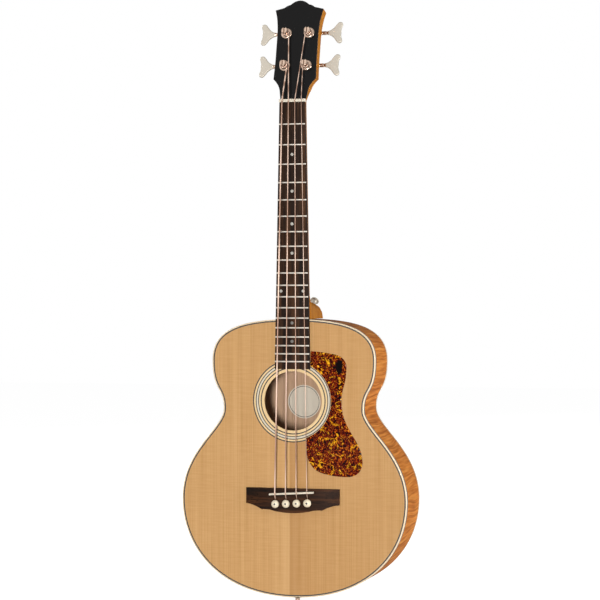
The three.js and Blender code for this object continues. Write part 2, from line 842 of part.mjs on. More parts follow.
// The saddle's blank, turned to its slant, with a rounded crown
function saddleBlank(length, width, extraRise) {
  const half = width / 2;
  const top = -(bridgeHeight + saddleRise + extraRise);
  const bottom = -(bridgeHeight - saddleDepth) + (extraRise > 0 ? seatGap : 0);
  const side = new THREE.Shape();
  side.moveTo(-half, bottom);
  side.lineTo(half, bottom);
  side.lineTo(half, top + half);
  side.quadraticCurveTo(half, top, 0, top);
  side.quadraticCurveTo(-half, top, -half, top + half);
  const blank = new THREE.ExtrudeGeometry(side, { depth: length, bevelEnabled: false, curveSegments: 3 });
  blank.translate(0, 0, -length / 2).rotateY(Math.PI / 2);
  blank.rotateY(-Math.atan2(saddleSlant, saddleLength));
  return blank.translate(0, 0, saddleCentre);
}

// A ramp in the bridge's face that lets each string leave its hole towards the saddle
function stringRamps() {
  return stringDiameters.map((diameter, i) => {
    const x = spreadX(i, bridgeSpread);
    const half = diameter / 2 + seatGap;
    const z = pinZ(x) + stringFromPin;
    const ramp = new THREE.Shape([
      new THREE.Vector2(z - half, -bridgeHeight - overrun), new THREE.Vector2(z - half, 0 - bridgeHeight / 2),
      new THREE.Vector2(z + half, 0 - bridgeHeight / 2),
      new THREE.Vector2(z + half + bridgeHeight / 2, -bridgeHeight - overrun),
    ]);
    const wedge = new THREE.ExtrudeGeometry(ramp, { depth: half * 2, bevelEnabled: false });
    wedge.rotateY(-Math.PI / 2);
    return wedge.translate(x + half, 0, 0);
  });
}

function makeBridgePin(diameter) {
  const underHead = -(bridgeHeight + pinLift);
  const tip = underHead + pinShankLength;
  const crown = underHead - pinHeadHeight;
  const body = turned([
    [0, crown], [pinHeadRadius / 2, crown + pinHeadHeight / 6],
    [pinHeadRadius, underHead - pinCollarHeight], [pinHeadRadius, underHead],
    [pinShankTopRadius, underHead], [pinShankTipRadius, tip - pinShankTipRadius],
    [pinShankTipRadius / 2, tip], [0, tip],
  ], 10);
  const fluteRadius = Math.max(ballRadius, diameter / 2) + seatGap;
  const flute = barAlongY(fluteRadius, underHead, tip + overrun, 10);
  return cut(body, flute.translate(0, 0, stringFromPin));
}

function makePickguard() {
  const guardArc = rosetteBand.outer + pickguardHoleMargin;
  const edgeX = fingerboardHalfWidth(fingerboardEnd) + seatGap;
  const startZ = bodyTop - pickguardShares.topDrop * pickguardDrop;
  const arcTop = Math.asin(edgeX / guardArc);
  const arcBottom = Math.PI - Math.asin(pickguardShares.innerX * pickguardReach / guardArc);
  const shape = new THREE.Shape();
  shape.moveTo(edgeX, startZ);
  const place = (shares) => [shares.x * pickguardReach, bodyTop - shares.drop * pickguardDrop];
  for (const [control, end] of pickguardShares.outer) {
    shape.quadraticCurveTo(...place(control), ...place(end));
  }
  const steps = 12;
  for (let i = 0; i <= steps; i++) {
    const angle = THREE.MathUtils.lerp(arcBottom, arcTop, i / steps);
    shape.lineTo(guardArc * Math.sin(angle), holeCentre + guardArc * Math.cos(angle));
  }
  return plate(shape, -pickguardThickness, 0, 4);
}

// The pickguard's free edge, as curve controls and ends: x as a share of the reach and drop below the top
// of the body as a share of the guard's drop
const pickguardShares = {
  topDrop: 0.204,
  innerX: 0.188,
  outer: [
    [{ x: 0.413, drop: 0.208 }, { x: 0.570, drop: 0.221 }],
    [{ x: 0.768, drop: 0.236 }, { x: 0.766, drop: 0.312 }],
    [{ x: 0.764, drop: 0.378 }, { x: 0.717, drop: 0.439 }],
    [{ x: 0.671, drop: 0.522 }, { x: 0.717, drop: 0.609 }],
    [{ x: 0.749, drop: 0.666 }, { x: 0.902, drop: 0.774 }],
    [{ x: 1.000, drop: 0.855 }, { x: 0.993, drop: 0.910 }],
    [{ x: 0.973, drop: 1.000 }, { x: 0.762, drop: 1.000 }],
    [{ x: 0.493, drop: 0.999 }, { x: 0.341, drop: 0.964 }],
    [{ x: 0.179, drop: 0.912 }, { x: 0.187, drop: 0.791 }],
    [{ x: 0.187, drop: 0.773 }, { x: 0.188, drop: 0.757 }],
  ],
};

// Neck

// A ring of the neck: flat in front, rounded behind; bulge under 1 squares it off
function neckRing(halfWidth, front, back, bulge, place) {
  const steps = 12;
  const ring = [];
  for (let k = 0; k <= steps; k++) {
    const angle = Math.PI * k / steps;
    const cosine = Math.cos(angle);
    const x = halfWidth * Math.sign(cosine) * Math.abs(cosine) ** bulge;
    const y = front + (back - front) * Math.sin(angle) ** bulge;
    ring.push(place(x, k === 0 || k === steps ? front : y));
  }
  return ring;
}

// A point of the headstock's frame, in the guitar's frame
function headstockPoint(x, depth, along) {
  const y = depth * Math.cos(tilt) + along * Math.sin(tilt);
  const z = nutThickness + along * Math.cos(tilt) - depth * Math.sin(tilt);
  return new THREE.Vector3(x, y, z);
}

function makeNeckShaft() {
  const rings = [];
  const neckBulge = 0.86;
  const throatBulge = 0.8;
  const squareBulge = 0.3;
  const cornerBulge = 0.08;
  for (const share of [1, 0.55, 0]) {
    const z = THREE.MathUtils.lerp(-voluteStart, bodyTop + seatGap, share);
    const depth = THREE.MathUtils.lerp(neckDepthAtNut, neckDepthAtHeel, share);
    rings.push(neckRing(fingerboardHalfWidth(z), 0, depth, neckBulge, (x, y) => new THREE.Vector3(x, y, z)));
  }
  const voluteZ = -voluteStart / 4;
  rings.push(neckRing(fingerboardHalfWidth(voluteZ), 0, volutePeak, neckBulge,
    (x, y) => new THREE.Vector3(x, y, voluteZ)));
  for (const along of [0, veneerStart, throatLength / 2, throatLength]) {
    const share = along / throatLength;
    const halfWidth = THREE.MathUtils.lerp(nutWidth / 2, throatHalfWidth, share);
    const front = along === 0 ? 0 : veneerThickness;
    const back = THREE.MathUtils.lerp(volutePeak, headstockBack, share);
    const bulge = THREE.MathUtils.lerp(throatBulge, squareBulge, share);
    rings.push(neckRing(halfWidth, front, back, bulge, (x, y) => headstockPoint(x, y, along)));
  }
  rings.push(neckRing(throatSquareHalfWidth, veneerThickness, headstockBack, cornerBulge,
    (x, y) => headstockPoint(x, y, throatSquareLength)));
  return loft(rings);
}

// The heel: rounded sections that grow short and deep towards its cap
function makeHeel() {
  const steps = 10;
  const capDepth = rimDepthAtNeck;
  const base = bodyTop + seatGap;
  const rings = heelDepthShares.map((share, number) => {
    const y = number === 0 ? neckDepthAtHeel / 2 : capDepth * share;
    const halfWidth = THREE.MathUtils.lerp(heelHalfWidth, heelCapHalfWidth, share);
    const rise = heelRise * heelSweepShares[number];
    const ring = [];
    for (let k = 0; k <= steps; k++) {
      const angle = Math.PI * k / steps;
      const x = halfWidth * Math.cos(angle);
      ring.push(new THREE.Vector3(x, y, base + (k === 0 || k === steps ? 0 : rise * Math.sin(angle) ** 0.9)));
    }
    return ring;
  });
  return loft(rings);
}

function makeTenon() {
  const z0 = bodyTop - tenonLength;
  return box(-tenonHalfWidth, tenonHalfWidth, tenonTop(), tenonTop() + tenonDepth, z0, bodyTop + overrun * 4);
}

// The rod's channel in the neck's face, and the bore that carries its thread through the heel
function rodWay() {
  const half = rodWidth / 2 + seatGap;
  const bottom = rodDepth + rodHeight / 2 + seatGap;
  const channel = box(-half, half, -overrun, bottom, rodEnd - seatGap, seatGap - rodStart);
  const bore = barAlongZ(rodThreadRadius + seatGap, rodThreadEnd, rodEnd + overrun, 10);
  return join(channel, bore.translate(0, rodDepth, 0));
}

// The headstock's outline from the throat up; one half drawn, the other mirrored
function headstockShape(fromAlong, fromHalfWidth) {
  const shape = new THREE.Shape();
  shape.moveTo(-fromHalfWidth, fromAlong);
  shape.lineTo(fromHalfWidth, fromAlong);
  const throatBend = (shoulderAlong + throatLength) / 2;
  if (fromAlong < throatLength) shape.lineTo(throatHalfWidth, throatLength);
  shape.quadraticCurveTo(throatHalfWidth + throatFlare, throatBend, shoulderHalfWidth, shoulderAlong);
  shape.lineTo(flankHalfWidth, flankLowAlong);
  shape.lineTo(flankHalfWidth, flankHighAlong);
  shape.quadraticCurveTo(flankHalfWidth + 0.6, (flankHighAlong + cornerAlong) / 2 + 4, cornerHalfWidth,
    cornerAlong);
  shape.lineTo(stepHalfWidth, stepAlong);
  shape.quadraticCurveTo((stepHalfWidth + crownHalfWidth) / 2, stepAlong + 4, crownHalfWidth, crownBaseAlong);
  shape.quadraticCurveTo(crownHalfWidth / 2, crownAlong, 0, crownAlong);
  shape.quadraticCurveTo(-crownHalfWidth / 2, crownAlong, -crownHalfWidth, crownBaseAlong);
  shape.quadraticCurveTo(-(stepHalfWidth + crownHalfWidth) / 2, stepAlong + 4, -stepHalfWidth, stepAlong);
  shape.lineTo(-cornerHalfWidth, cornerAlong);
  shape.quadraticCurveTo(-flankHalfWidth - 0.6, (flankHighAlong + cornerAlong) / 2 + 4, -flankHalfWidth,
    flankHighAlong);
  shape.lineTo(-flankHalfWidth, flankLowAlong);
  shape.lineTo(-shoulderHalfWidth, shoulderAlong);
  shape.quadraticCurveTo(-throatHalfWidth - throatFlare, throatBend, -throatHalfWidth, throatLength);
  return shape;
}

function postHoles(y0, y1, radius) {
  return postPlaces.map((place) => {
    return barAlongY(radius, y0, y1, postSegments).translate(place.side * place.x, 0, place.along);
  });
}

function makeHeadstockBlank() {
  const shape = headstockShape(throatLength - overrun / 2, throatHalfWidth);
  const blank = plate(shape, veneerThickness, headstockBack, 4);
  const holes = postHoles(-overrun, headstockBack + overrun, bushingBarrelRadius + seatGap);
  const start = throatSquareLength - overrun;
  const root = box(-flankHalfWidth, flankHalfWidth, -overrun, headstockBack + overrun, 0, start);
  return cut(blank, root, ...holes).rotateX(-tilt).translate(0, 0, nutThickness);
}

// The waste below a shoulder, sawn square to the fingerboard rather than to the headstock's face
function shoulderCut(side) {
  const outside = shoulderHalfWidth * 2;
  const shape = new THREE.Shape();
  shape.moveTo(side * outside, 0);
  shape.lineTo(side * outside, shoulderAlong);
  shape.lineTo(side * shoulderHalfWidth, shoulderAlong);
  shape.quadraticCurveTo(side * (throatHalfWidth + throatFlare), (shoulderAlong + throatLength) / 2,
    side * throatHalfWidth, throatLength);
  shape.lineTo(side * throatHalfWidth, 0);
  const waste = plate(shape, 0, headstockBack + overrun, 4);
  waste.applyMatrix4(new THREE.Matrix4().makeShear(0, 0, 0, Math.tan(tilt), 0, 0));
  return waste.rotateX(-tilt).translate(0, 0, nutThickness);
}

function makeVeneer() {
  const shape = headstockShape(veneerStart, nutWidth / 2);
  const blank = plate(shape, 0, veneerThickness - seatGap, 4);
  return cut(blank, ...postHoles(-overrun, headstockBack, bushingBarrelRadius + seatGap));
}

// The strap button's seat on the corner between the heel's flank and its cap
const buttonAxis = new THREE.Vector3(buttonLeanSideways, buttonLeanBack, buttonLeanUp).normalize();
const buttonSeat = new THREE.Vector3(buttonSeatX, rimDepthAtNeck, bodyTop + buttonSeatRise + buttonSeatInset)
  .addScaledVector(buttonAxis, -buttonSeatInset);

function alongButton(geometry) {
  const turn = new THREE.Quaternion().setFromUnitVectors(new THREE.Vector3(0, 1, 0), buttonAxis);
  return geometry.applyQuaternion(turn).translate(buttonSeat.x, buttonSeat.y, buttonSeat.z);
}

function makeNeck() {
  const spotFace = alongButton(barAlongY(buttonFlangeRadius + overrun, 0, buttonHeight * 2, 20));
  const screwHole = alongButton(barAlongY(buttonShankRadius + seatGap, -buttonShankLength - seatGap, overrun, 10));
  const whole = join(makeNeckShaft(), makeHeel(), makeTenon(), makeHeadstockBlank());
  return cut(whole, rodWay(), spotFace, screwHole, shoulderCut(1), shoulderCut(-1));
}

function makeStrapButton() {
  const profile = [
    [0, -buttonShankLength], [buttonShankRadius, -buttonShankLength], [buttonShankRadius, seatGap],
    [buttonBaseRadius, seatGap], [buttonBaseRadius, overrun * 2], [buttonWaistRadius, buttonHeight / 3],
    [buttonWaistRadius, buttonHeight - buttonFlangeHeight - overrun],
    [buttonFlangeRadius, buttonHeight - buttonFlangeHeight],
    [buttonFlangeRadius, buttonHeight - overrun], [buttonWaistRadius, buttonHeight], [0, buttonHeight],
  ];
  return alongButton(turned(profile, 12));
}

function makeEndPin() {
  const profile = [
    [0, endPinShankLength], [endPinShankRadius - overrun, endPinShankLength], [endPinShankRadius, -seatGap],
    [buttonFlangeRadius, -seatGap], [buttonFlangeRadius, -overrun * 2.2],
    [buttonWaistRadius, -buttonHeight / 3], [buttonWaistRadius, buttonFlangeHeight + overrun - buttonHeight],
    [buttonFlangeRadius, buttonFlangeHeight - buttonHeight], [buttonFlangeRadius, overrun - buttonHeight],
    [buttonWaistRadius, -buttonHeight], [0, -buttonHeight],
  ];
  return turned(profile, 12).rotateX(Math.PI / 2).translate(0, endPinDepth, bodyBottom);
}

// The rounded face of the fingerboard, and of each fret at its own height
const crownShares = [-1, -0.45, 0.45, 1];

function crownDepth(x, thickness) {
  return -(thickness - (fingerboardRadius - Math.sqrt(fingerboardRadius ** 2 - x ** 2)));
}

function makeFingerboard() {
  const board = loft([0, fingerboardEnd].map((z) => {
    const half = fingerboardHalfWidth(z);
    const top = crownShares.map((share) => {
      return new THREE.Vector3(share * half, crownDepth(share * half, fingerboardThickness), z);
    });
    return [new THREE.Vector3(half, 0, z), new THREE.Vector3(-half, 0, z), ...top];
  }));
  const frets = [];
  for (let fret = 1; fret <= fretCount; fret++) frets.push(makeFret(-fretDistance(fret)));
  return join(board, ...frets);
}

function makeFret(z) {
  const half = fingerboardHalfWidth(z);
  return loft(crownShares.map((share) => {
    const x = share * (half - seatGap);
    const foot = crownDepth(x, fingerboardThickness - fretEmbed);
    const top = crownDepth(x, fingerboardThickness + fretHeight);
    return [
      new THREE.Vector3(x, foot, z - fretWidth / 2), new THREE.Vector3(x, top, z - fretCrownWidth / 2),
      new THREE.Vector3(x, top, z + fretCrownWidth / 2), new THREE.Vector3(x, foot, z + fretWidth / 2),
    ];
  }));
}

function makeNut() {
  const half = nutWidth / 2;
  const side = new THREE.Shape([
    new THREE.Vector2(seatGap, 0), new THREE.Vector2(nutThickness, 0),
    new THREE.Vector2(nutThickness, nutBackDrop - nutHeight), new THREE.Vector2(nutThickness / 3, -nutHeight),
    new THREE.Vector2(seatGap, -nutHeight),
  ]);
  const blank = new THREE.ExtrudeGeometry(side, { depth: half * 2, bevelEnabled: false });
  blank.rotateY(-Math.PI / 2).translate(half, 0, 0);
  const slots = stringDiameters.map((diameter, i) => {
    const { beforeNut, nut, afterNut } = stringPaths[i];
    const clear = diameter / 2 + seatGap;
    return loft([beforeNut, nut, afterNut].map((point) => [
      new THREE.Vector3(point.x - clear, -nutHeight - overrun, point.z),
      new THREE.Vector3(point.x + clear, -nutHeight - overrun, point.z),
      new THREE.Vector3(point.x + clear, point.y + clear, point.z),
      new THREE.Vector3(point.x - clear, point.y + clear, point.z),
    ]));
  });
  return cut(blank, ...slots);
}

function nutStringDepth(diameter) {
  return fingerboardThickness + fretHeight + nutAction + diameter / 2;
}

// Each string's route, from its ball under the bridge plate to the end of its winding
function stringPath(i) {
  const diameter = stringDiameters[i];
  const radius = diameter / 2;
  const bridgeX = spreadX(i, bridgeSpread);
  const nutX = spreadX(i, nutSpread);
  const holeZ = pinZ(bridgeX) + stringFromPin;
  const saddleTop = -(bridgeHeight + saddleRise + seatGap + radius);
  const nutDepth = -nutStringDepth(diameter);
  const saddle = new THREE.Vector3(bridgeX, saddleTop, saddleZ(bridgeX));
  const nut = new THREE.Vector3(nutX, nutDepth, nutThickness / 2);
  const post = postPlaces[i];
  const direction = -post.side;
  const centreX = post.side * post.x;
  const level = -(postWaistStart + overrun + seatGap + radius);
  const windRadius = postWaistRadius + seatGap + radius;
  const nutAlong = -nutThickness / 2;
  const reach = Math.hypot(nutX - centreX, nutAlong - post.along);
  const startAngle = Math.atan2(nutAlong - post.along, nutX - centreX)
    + direction * Math.acos(windRadius / reach);
  const winding = [];
  const pitch = diameter + windingGap;
  for (let k = 0; k <= windingTurns * windingSteps; k++) {
    const turn = k / windingSteps;
    const angle = startAngle + direction * 2 * Math.PI * turn;
    const x = centreX + windRadius * Math.cos(angle);
    winding.push(headstockPoint(x, level - pitch * turn, post.along + windRadius * Math.sin(angle)));
  }
  const lastAngle = startAngle + direction * 2 * Math.PI * windingTurns;
  const climb = -pitch / (2 * Math.PI * windRadius);
  const leave = new THREE.Vector3(-Math.sin(lastAngle) * direction, climb, Math.cos(lastAngle) * direction);
  const local = new THREE.Vector3(centreX + windRadius * Math.cos(lastAngle), level - pitch * windingTurns,
    post.along + windRadius * Math.sin(lastAngle)).addScaledVector(leave, diameter);
  winding.push(headstockPoint(local.x, local.y, local.z));
  const ball = new THREE.Vector3(bridgeX, plateUnderside + seatGap, holeZ);
  const ballEnd = ball.clone().setY(ball.y + ballLength);
  const ballTop = ball.clone().setY(ball.y - seatGap / 2);
  const crest = new THREE.Vector3(bridgeX, -(bridgeHeight - radius), holeZ);
  const toward = (from, to, distance) => from.clone().lerp(to, distance / from.distanceTo(to));
  const bend = [
    toward(crest, ballTop, bendRadius), crest.clone().lerp(toward(crest, saddle, bendRadius), 0.5)
      .lerp(toward(crest, ballTop, bendRadius), 0.25), toward(crest, saddle, bendRadius),
  ];
  const beforeNut = toward(nut, saddle, nutThickness);
  const afterNut = toward(nut, winding[0], nutThickness);
  const points = [ballEnd, ball, ballTop, ...bend, toward(saddle, crest, overrun),
    toward(saddle, nut, overrun), toward(nut, saddle, overrun / 2), toward(nut, winding[0], overrun / 2),
    ...winding];
  const radii = points.map((point, number) => (number < 2 ? ballRadius : radius));
  return { points, radii, beforeNut, nut, afterNut, winding, radius };
}

const stringPaths = stringDiameters.map((diameter, i) => stringPath(i));

// The least gap of a winding to itself, measured between points more than half a turn apart
function leastWindingGap(path) {
  let least = Infinity;
  const apart = windingSteps / 2;
  path.winding.forEach((point, i) => {
    for (let k = i + apart; k < path.winding.length; k++) {
      least = Math.min(least, point.distanceTo(path.winding[k]) - path.radius * 2);
    }
  });
  return least;
}

// Tuning machines, made for the treble side with x outward from the post and mirrored for the bass side

function makeBushing() {
  const bore = postRadius + postClearance;
  const profile = [
    [bore, bushingBarrelLength], [bore, -bushingFlangeHeight],
    [bushingFlangeRadius - bushingFlangeHeight / 2, -bushingFlangeHeight],
    [bushingFlangeRadius, -bushingFlangeHeight / 2], [bushingFlangeRadius, -seatGap],
    [bushingBarrelRadius, -seatGap], [bushingBarrelRadius, bushingBarrelLength], [bore, bushingBarrelLength],
  ];
  return turned(profile, postSegments);
}

function makePost() {
  const gearSeat = plateBack + gearLift - seatGap;
  const end = gearCentre + gearThickness / 2 + overrun;
  const profile = [
    [0, -postTip], [postRadius - overrun, -postTip], [postRadius, overrun - postTip],
    [postRadius, -postWaistEnd - overrun], [postWaistRadius, -postWaistEnd],
    [postWaistRadius, -postWaistStart - overrun], [postRadius, -postWaistStart],
    [postRadius, gearSeat], [postEndRadius, gearSeat], [postEndRadius, end], [0, end],
  ];
  const half = postSlotWidth / 2;
  const slot = box(-half, half, -postTip - overrun, postSlotDepth - postTip, -postRadius * 2, postRadius * 2);
  return cut(turned(profile, postSegments), slot);
}

function makeGear() {
  const root = gearPitchRadius - gearRootDrop;
  const tip = gearPitchRadius + gearTipRise;
  const slant = Math.atan2(wormLead, 2 * Math.PI * wormPitchRadius);
  const twist = Math.tan(slant) * gearThickness / gearPitchRadius;
  const ring = (y, turn) => {
    const points = [];
    for (let tooth = 0; tooth < gearTeeth; tooth++) {
      const centre = 2 * Math.PI * (tooth + 0.5) / gearTeeth + turn;
      const corners = [[root, -gearToothRoot], [tip, -gearToothTip], [tip, gearToothTip], [root, gearToothRoot]];
      for (const [radius, width] of corners) {
        const angle = centre + width / 2 / radius;
        points.push(new THREE.Vector3(radius * Math.sin(angle), y, radius * Math.cos(angle)));
      }
    }
    return points;
  };
  const half = gearThickness / 2;
  const wheel = loft([ring(gearCentre - half, -twist / 2), ring(gearCentre + half, twist / 2)]);
  const bore = barAlongY(postEndRadius + seatGap, gearCentre - gearThickness, gearCentre + gearThickness, 12);
  return cut(wheel, bore);
}

// The worm's thread: a ridge of four corners that climbs round the shaft
function makeWormThread() {
  const inner = wormPitchRadius - wormRootDrop - seatGap;
  const outer = wormPitchRadius + wormTipRise;
  const rings = [];
  const steps = Math.round(wormThreadTurns * wormSteps);
  for (let k = 0; k <= steps; k++) {
    const turn = (k - steps / 2) / wormSteps;
    const angle = 2 * Math.PI * turn;
    const x = wormLead * turn;
    const corners = [[inner, -wormThreadRoot], [outer, -wormThreadTip], [outer, wormThreadTip],
      [inner, wormThreadRoot]];
    rings.push(corners.map(([radius, width]) => {
      return new THREE.Vector3(x + width / 2, -radius * Math.sin(angle), -radius * Math.cos(angle));
    }));
  }
  return loft(rings);
}

function makeKeyPaddle() {
  const waist = keyWaistRadius;
  const high = keyHalfHeight;
  const start = keyPaddleStart;
  const end = keyPaddleEnd;
  const long = end - start;
  const half = [
    [{ x: start + long * 0.2, z: waist * 1.1 }, { x: start + long * 0.42, z: high * 0.48 }],
    [{ x: start + long * 0.58, z: high * 0.8 }, { x: start + long * 0.68, z: high * 0.93 }],
    [{ x: start + long * 0.8, z: high * 1.05 }, { x: start + long * 0.94, z: high * 0.92 }],
    [{ x: end, z: high * 0.8 }, { x: start + long * 0.96, z: high * 0.6 }],
    [{ x: start + long * 0.86, z: high * 0.32 }, { x: start + long * 0.9, z: 0 }],
  ];
  const shape = new THREE.Shape();
  shape.moveTo(start - overrun, -waist);
  shape.lineTo(start - overrun, waist);
  for (const [control, point] of half) shape.quadraticCurveTo(control.x, control.z, point.x, point.z);
  for (let i = half.length - 1; i >= 0; i--) {
    const control = half[i][0];
    const point = i === 0 ? { x: start - overrun, z: waist } : half[i - 1][1];
    shape.quadraticCurveTo(control.x, -control.z, point.x, -point.z);
  }
  const inner = keyThickness - keyBevel * 2;
  const blank = new THREE.ExtrudeGeometry(shape, {
    depth: inner, bevelEnabled: true, bevelThickness: keyBevel, bevelSize: keyBevel / 2,
    bevelOffset: -keyBevel / 2, bevelSegments: 1, curveSegments: 2,
  });
  return blank.rotateX(Math.PI / 2).translate(0, inner / 2, 0);
}

function makeKey() {
  const journalStart = lugOffset - lugThickness / 2 - seatGap;
  const journalEnd = lugOffset + lugThickness;
  const innerJournal = barAlongX(wormShaftRadius, -journalEnd, -journalStart, 8);
  const outerJournal = barAlongX(wormShaftRadius, journalStart, keyCollarStart + overrun, 8);
  const core = barAlongX(wormPitchRadius - wormRootDrop, -journalStart - overrun, journalStart + overrun, wormSteps);
  const collar = turned([
    [0, keyCollarStart], [keyCollarRadius, keyCollarStart],
    [keyCollarRadius, keyPaddleStart - keyNeckLength], [keyWaistRadius, keyPaddleStart - keyNeckLength / 2],
    [keyWaistRadius, keyPaddleStart], [0, keyPaddleStart],
  ], 8).rotateZ(-Math.PI / 2);
  const whole = join(innerJournal, outerJournal, core, makeWormThread(), collar, makeKeyPaddle());
  return whole.translate(0, gearCentre, wormOffset);
}

function makeBasePlate() {
  const corner = basePlateCorner;
  const left = -basePlateHalfWidth;
  const right = basePlateHalfWidth;
  const low = -basePlateBelow;
  const high = basePlateAbove;
  const shape = new THREE.Shape();
  shape.moveTo(left + corner, low);
  shape.lineTo(right - corner, low);
  shape.quadraticCurveTo(right, low, right, low + corner);
  shape.lineTo(right, high - corner);
  shape.quadraticCurveTo(right, high, right - corner, high);
  shape.lineTo(left + corner, high);
  shape.quadraticCurveTo(left, high, left, high - corner);
  shape.lineTo(left, low + corner);
  shape.quadraticCurveTo(left, low, left + corner, low);
  const back = headstockBack + seatGap;
  const sheet = plate(shape, back, plateBack, 3);
  const lugs = [-lugOffset, lugOffset].map((x) => {
    const half = lugThickness / 2;
    const foot = box(x - half, x + half, back, gearCentre, wormOffset - lugHalfWidth, wormOffset + lugHalfWidth);
    const eye = barAlongX(lugHead, x - half, x + half, 12).translate(0, gearCentre, wormOffset);
    return join(foot, eye);
  });
  const boreRadius = wormShaftRadius + wormShaftClearance;
  const bore = barAlongX(boreRadius, left * 2, right * 2, 10).translate(0, gearCentre, wormOffset);
  const postBore = barAlongY(postRadius + postClearance, 0, gearCentre, postSegments);
  return cut(join(sheet, ...lugs), bore, postBore);
}

function makeTrussRod() {
  const half = rodWidth / 2;
  const top = rodDepth - rodHeight / 2;
  const bar = box(-half, half, top, top + rodHeight, rodEnd, -rodStart);
  const thread = barAlongZ(rodThreadRadius, rodThreadEnd, rodEnd + overrun, 10);
  return join(bar, thread.translate(0, rodDepth, 0));
}

function makeTrussRodNut() {
  const from = bodyTop - tenonLength - rodNutOffset;
  const hex = barAlongZ(rodNutRadius, from - rodNutLength, from, 6);
  const bore = barAlongZ(rodThreadRadius + seatGap, from - rodNutLength - overrun, from + overrun, 10);
  return cut(hex, bore).translate(0, rodDepth, 0);
}

// Assembly

addPiece(guitar, 'soundboard', makeSoundboard(), 'spruce');
addPiece(guitar, 'back_plate', makeBackPlate(), 'maple');
const rim = makeRim();
addPiece(guitar, 'rim_treble_side', rim, 'maple');
addPiece(guitar, 'rim_bass_side', mirrored(rim), 'maple');
addPiece(guitar, 'neck_block', makeNeckBlock(), 'brace');
addPiece(guitar, 'tail_block', makeTailBlock(), 'brace');
const lap = topThickness + braceHeight / 2;
const deepBrace = topThickness + braceHeight + overrun;
addPiece(guitar, 'x_brace_bass_leg', cut(crossLeg(1), crossNotch(-1, lap, deepBrace)), 'brace');
addPiece(guitar, 'x_brace_treble_leg', cut(crossLeg(-1), crossNotch(1, -overrun, lap + seatGap)), 'brace');
addPiece(guitar, 'transverse_brace', makeTransverseBrace(), 'brace');
const upperToneBar = makeToneBar(toneBarUpperPlaceShare, toneBarUpperLengthShare);
addPiece(guitar, 'tone_bar_upper', upperToneBar, 'brace');
const lowerToneBar = makeToneBar(toneBarLowerPlaceShare, toneBarLowerLengthShare);
addPiece(guitar, 'tone_bar_lower', lowerToneBar, 'brace');
addPiece(guitar, 'bridge_plate', makeBridgePlate(), 'maple');

const bindingBack = (z) => rimDepth(z);
const bindingTop = () => bindingHeight;
addPiece(guitar, 'binding_top', edgeStrip(0, bindingWidth, () => 0, bindingTop), 'ivory');
addPiece(guitar, 'binding_back', edgeStrip(0, bindingWidth, (z) => rimDepth(z) - bindingHeight, bindingBack),
  'ivory');
const purflingInset = bindingWidth + seatGap;
const purfling = edgeStrip(purflingInset, purflingInset + purflingWidth, () => 0, () => purflingDepth);
addPiece(guitar, 'purfling_top', purfling, 'purfling');
addPiece(guitar, 'rosette_inner_ring', makeRosetteRing(rosetteInner), 'purfling');
addPiece(guitar, 'rosette_band', makeRosetteRing(rosetteBand), 'pearl');
addPiece(guitar, 'rosette_outer_ring', makeRosetteRing(rosetteOuter), 'purfling');
addPiece(guitar, 'pickguard', makePickguard(), 'tortoise');

addPiece(guitar, 'bridge', makeBridge(), 'rosewood');
addPiece(guitar, 'saddle', saddleBlank(saddleLength, saddleWidth, 0), 'ivory');
stringDiameters.forEach((diameter, i) => {
  const x = spreadX(i, bridgeSpread);
  const pin = addPiece(guitar, `bridge_pin_${stringNames[i]}`, makeBridgePin(diameter), 'ivory');
  pin.position.set(x, 0, pinZ(x));
});

addPiece(guitar, 'neck', makeNeck(), 'mahogany');
addPiece(guitar, 'fingerboard', makeFingerboard(), 'rosewood');
addPiece(guitar, 'nut', makeNut(), 'ivory');
addPiece(guitar, 'truss_rod', makeTrussRod(), 'steel');
addPiece(guitar, 'truss_rod_nut', makeTrussRodNut(), 'brass');
addPiece(guitar, 'heel_strap_button', makeStrapButton(), 'nickel');
addPiece(guitar, 'end_pin', makeEndPin(), 'nickel');
addPiece(headstock, 'headstock_veneer', makeVeneer(), 'black');

const tunerParts = {
  tuner_plate: [makeBasePlate(), 'nickel'],
  tuner_key: [makeKey(), 'nickel'],
  tuner_gear: [makeGear(), 'brass'],
  tuner_post: [makePost(), 'nickel'],
  tuner_bushing: [makeBushing(), 'nickel'],
};
postPlaces.forEach((place, i) => {
  const tuner = new THREE.Group();
  tuner.position.set(place.side * place.x, 0, place.along);
  headstock.add(tuner);
  for (const [name, [geometry, finish]] of Object.entries(tunerParts)) {
    const handed = place.side > 0 ? geometry.clone() : mirrored(geometry);
    addPiece(tuner, `${name}_${stringNames[i]}`, handed, finish);
  }
});

stringPaths.forEach((path, i) => {
  addPiece(guitar, `string_${stringNames[i]}`, tube(path.points, path.radii, stringSides), 'bronze');
  console.log(`string ${stringNames[i]}: least gap of the winding to itself ${leastWindingGap(path).toFixed(2)} mm`);
});

export default guitar;
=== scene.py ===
# %% [markdown]
# # A short-scale acoustic bass guitar
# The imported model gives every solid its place. This lesson dresses it: the coarse solids whose edges
# or curves show are replaced by finer pieces, and every surface gets the finish of the real material.

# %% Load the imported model
import math

import bmesh
import bpy
from mathutils import Matrix, Vector, geometry


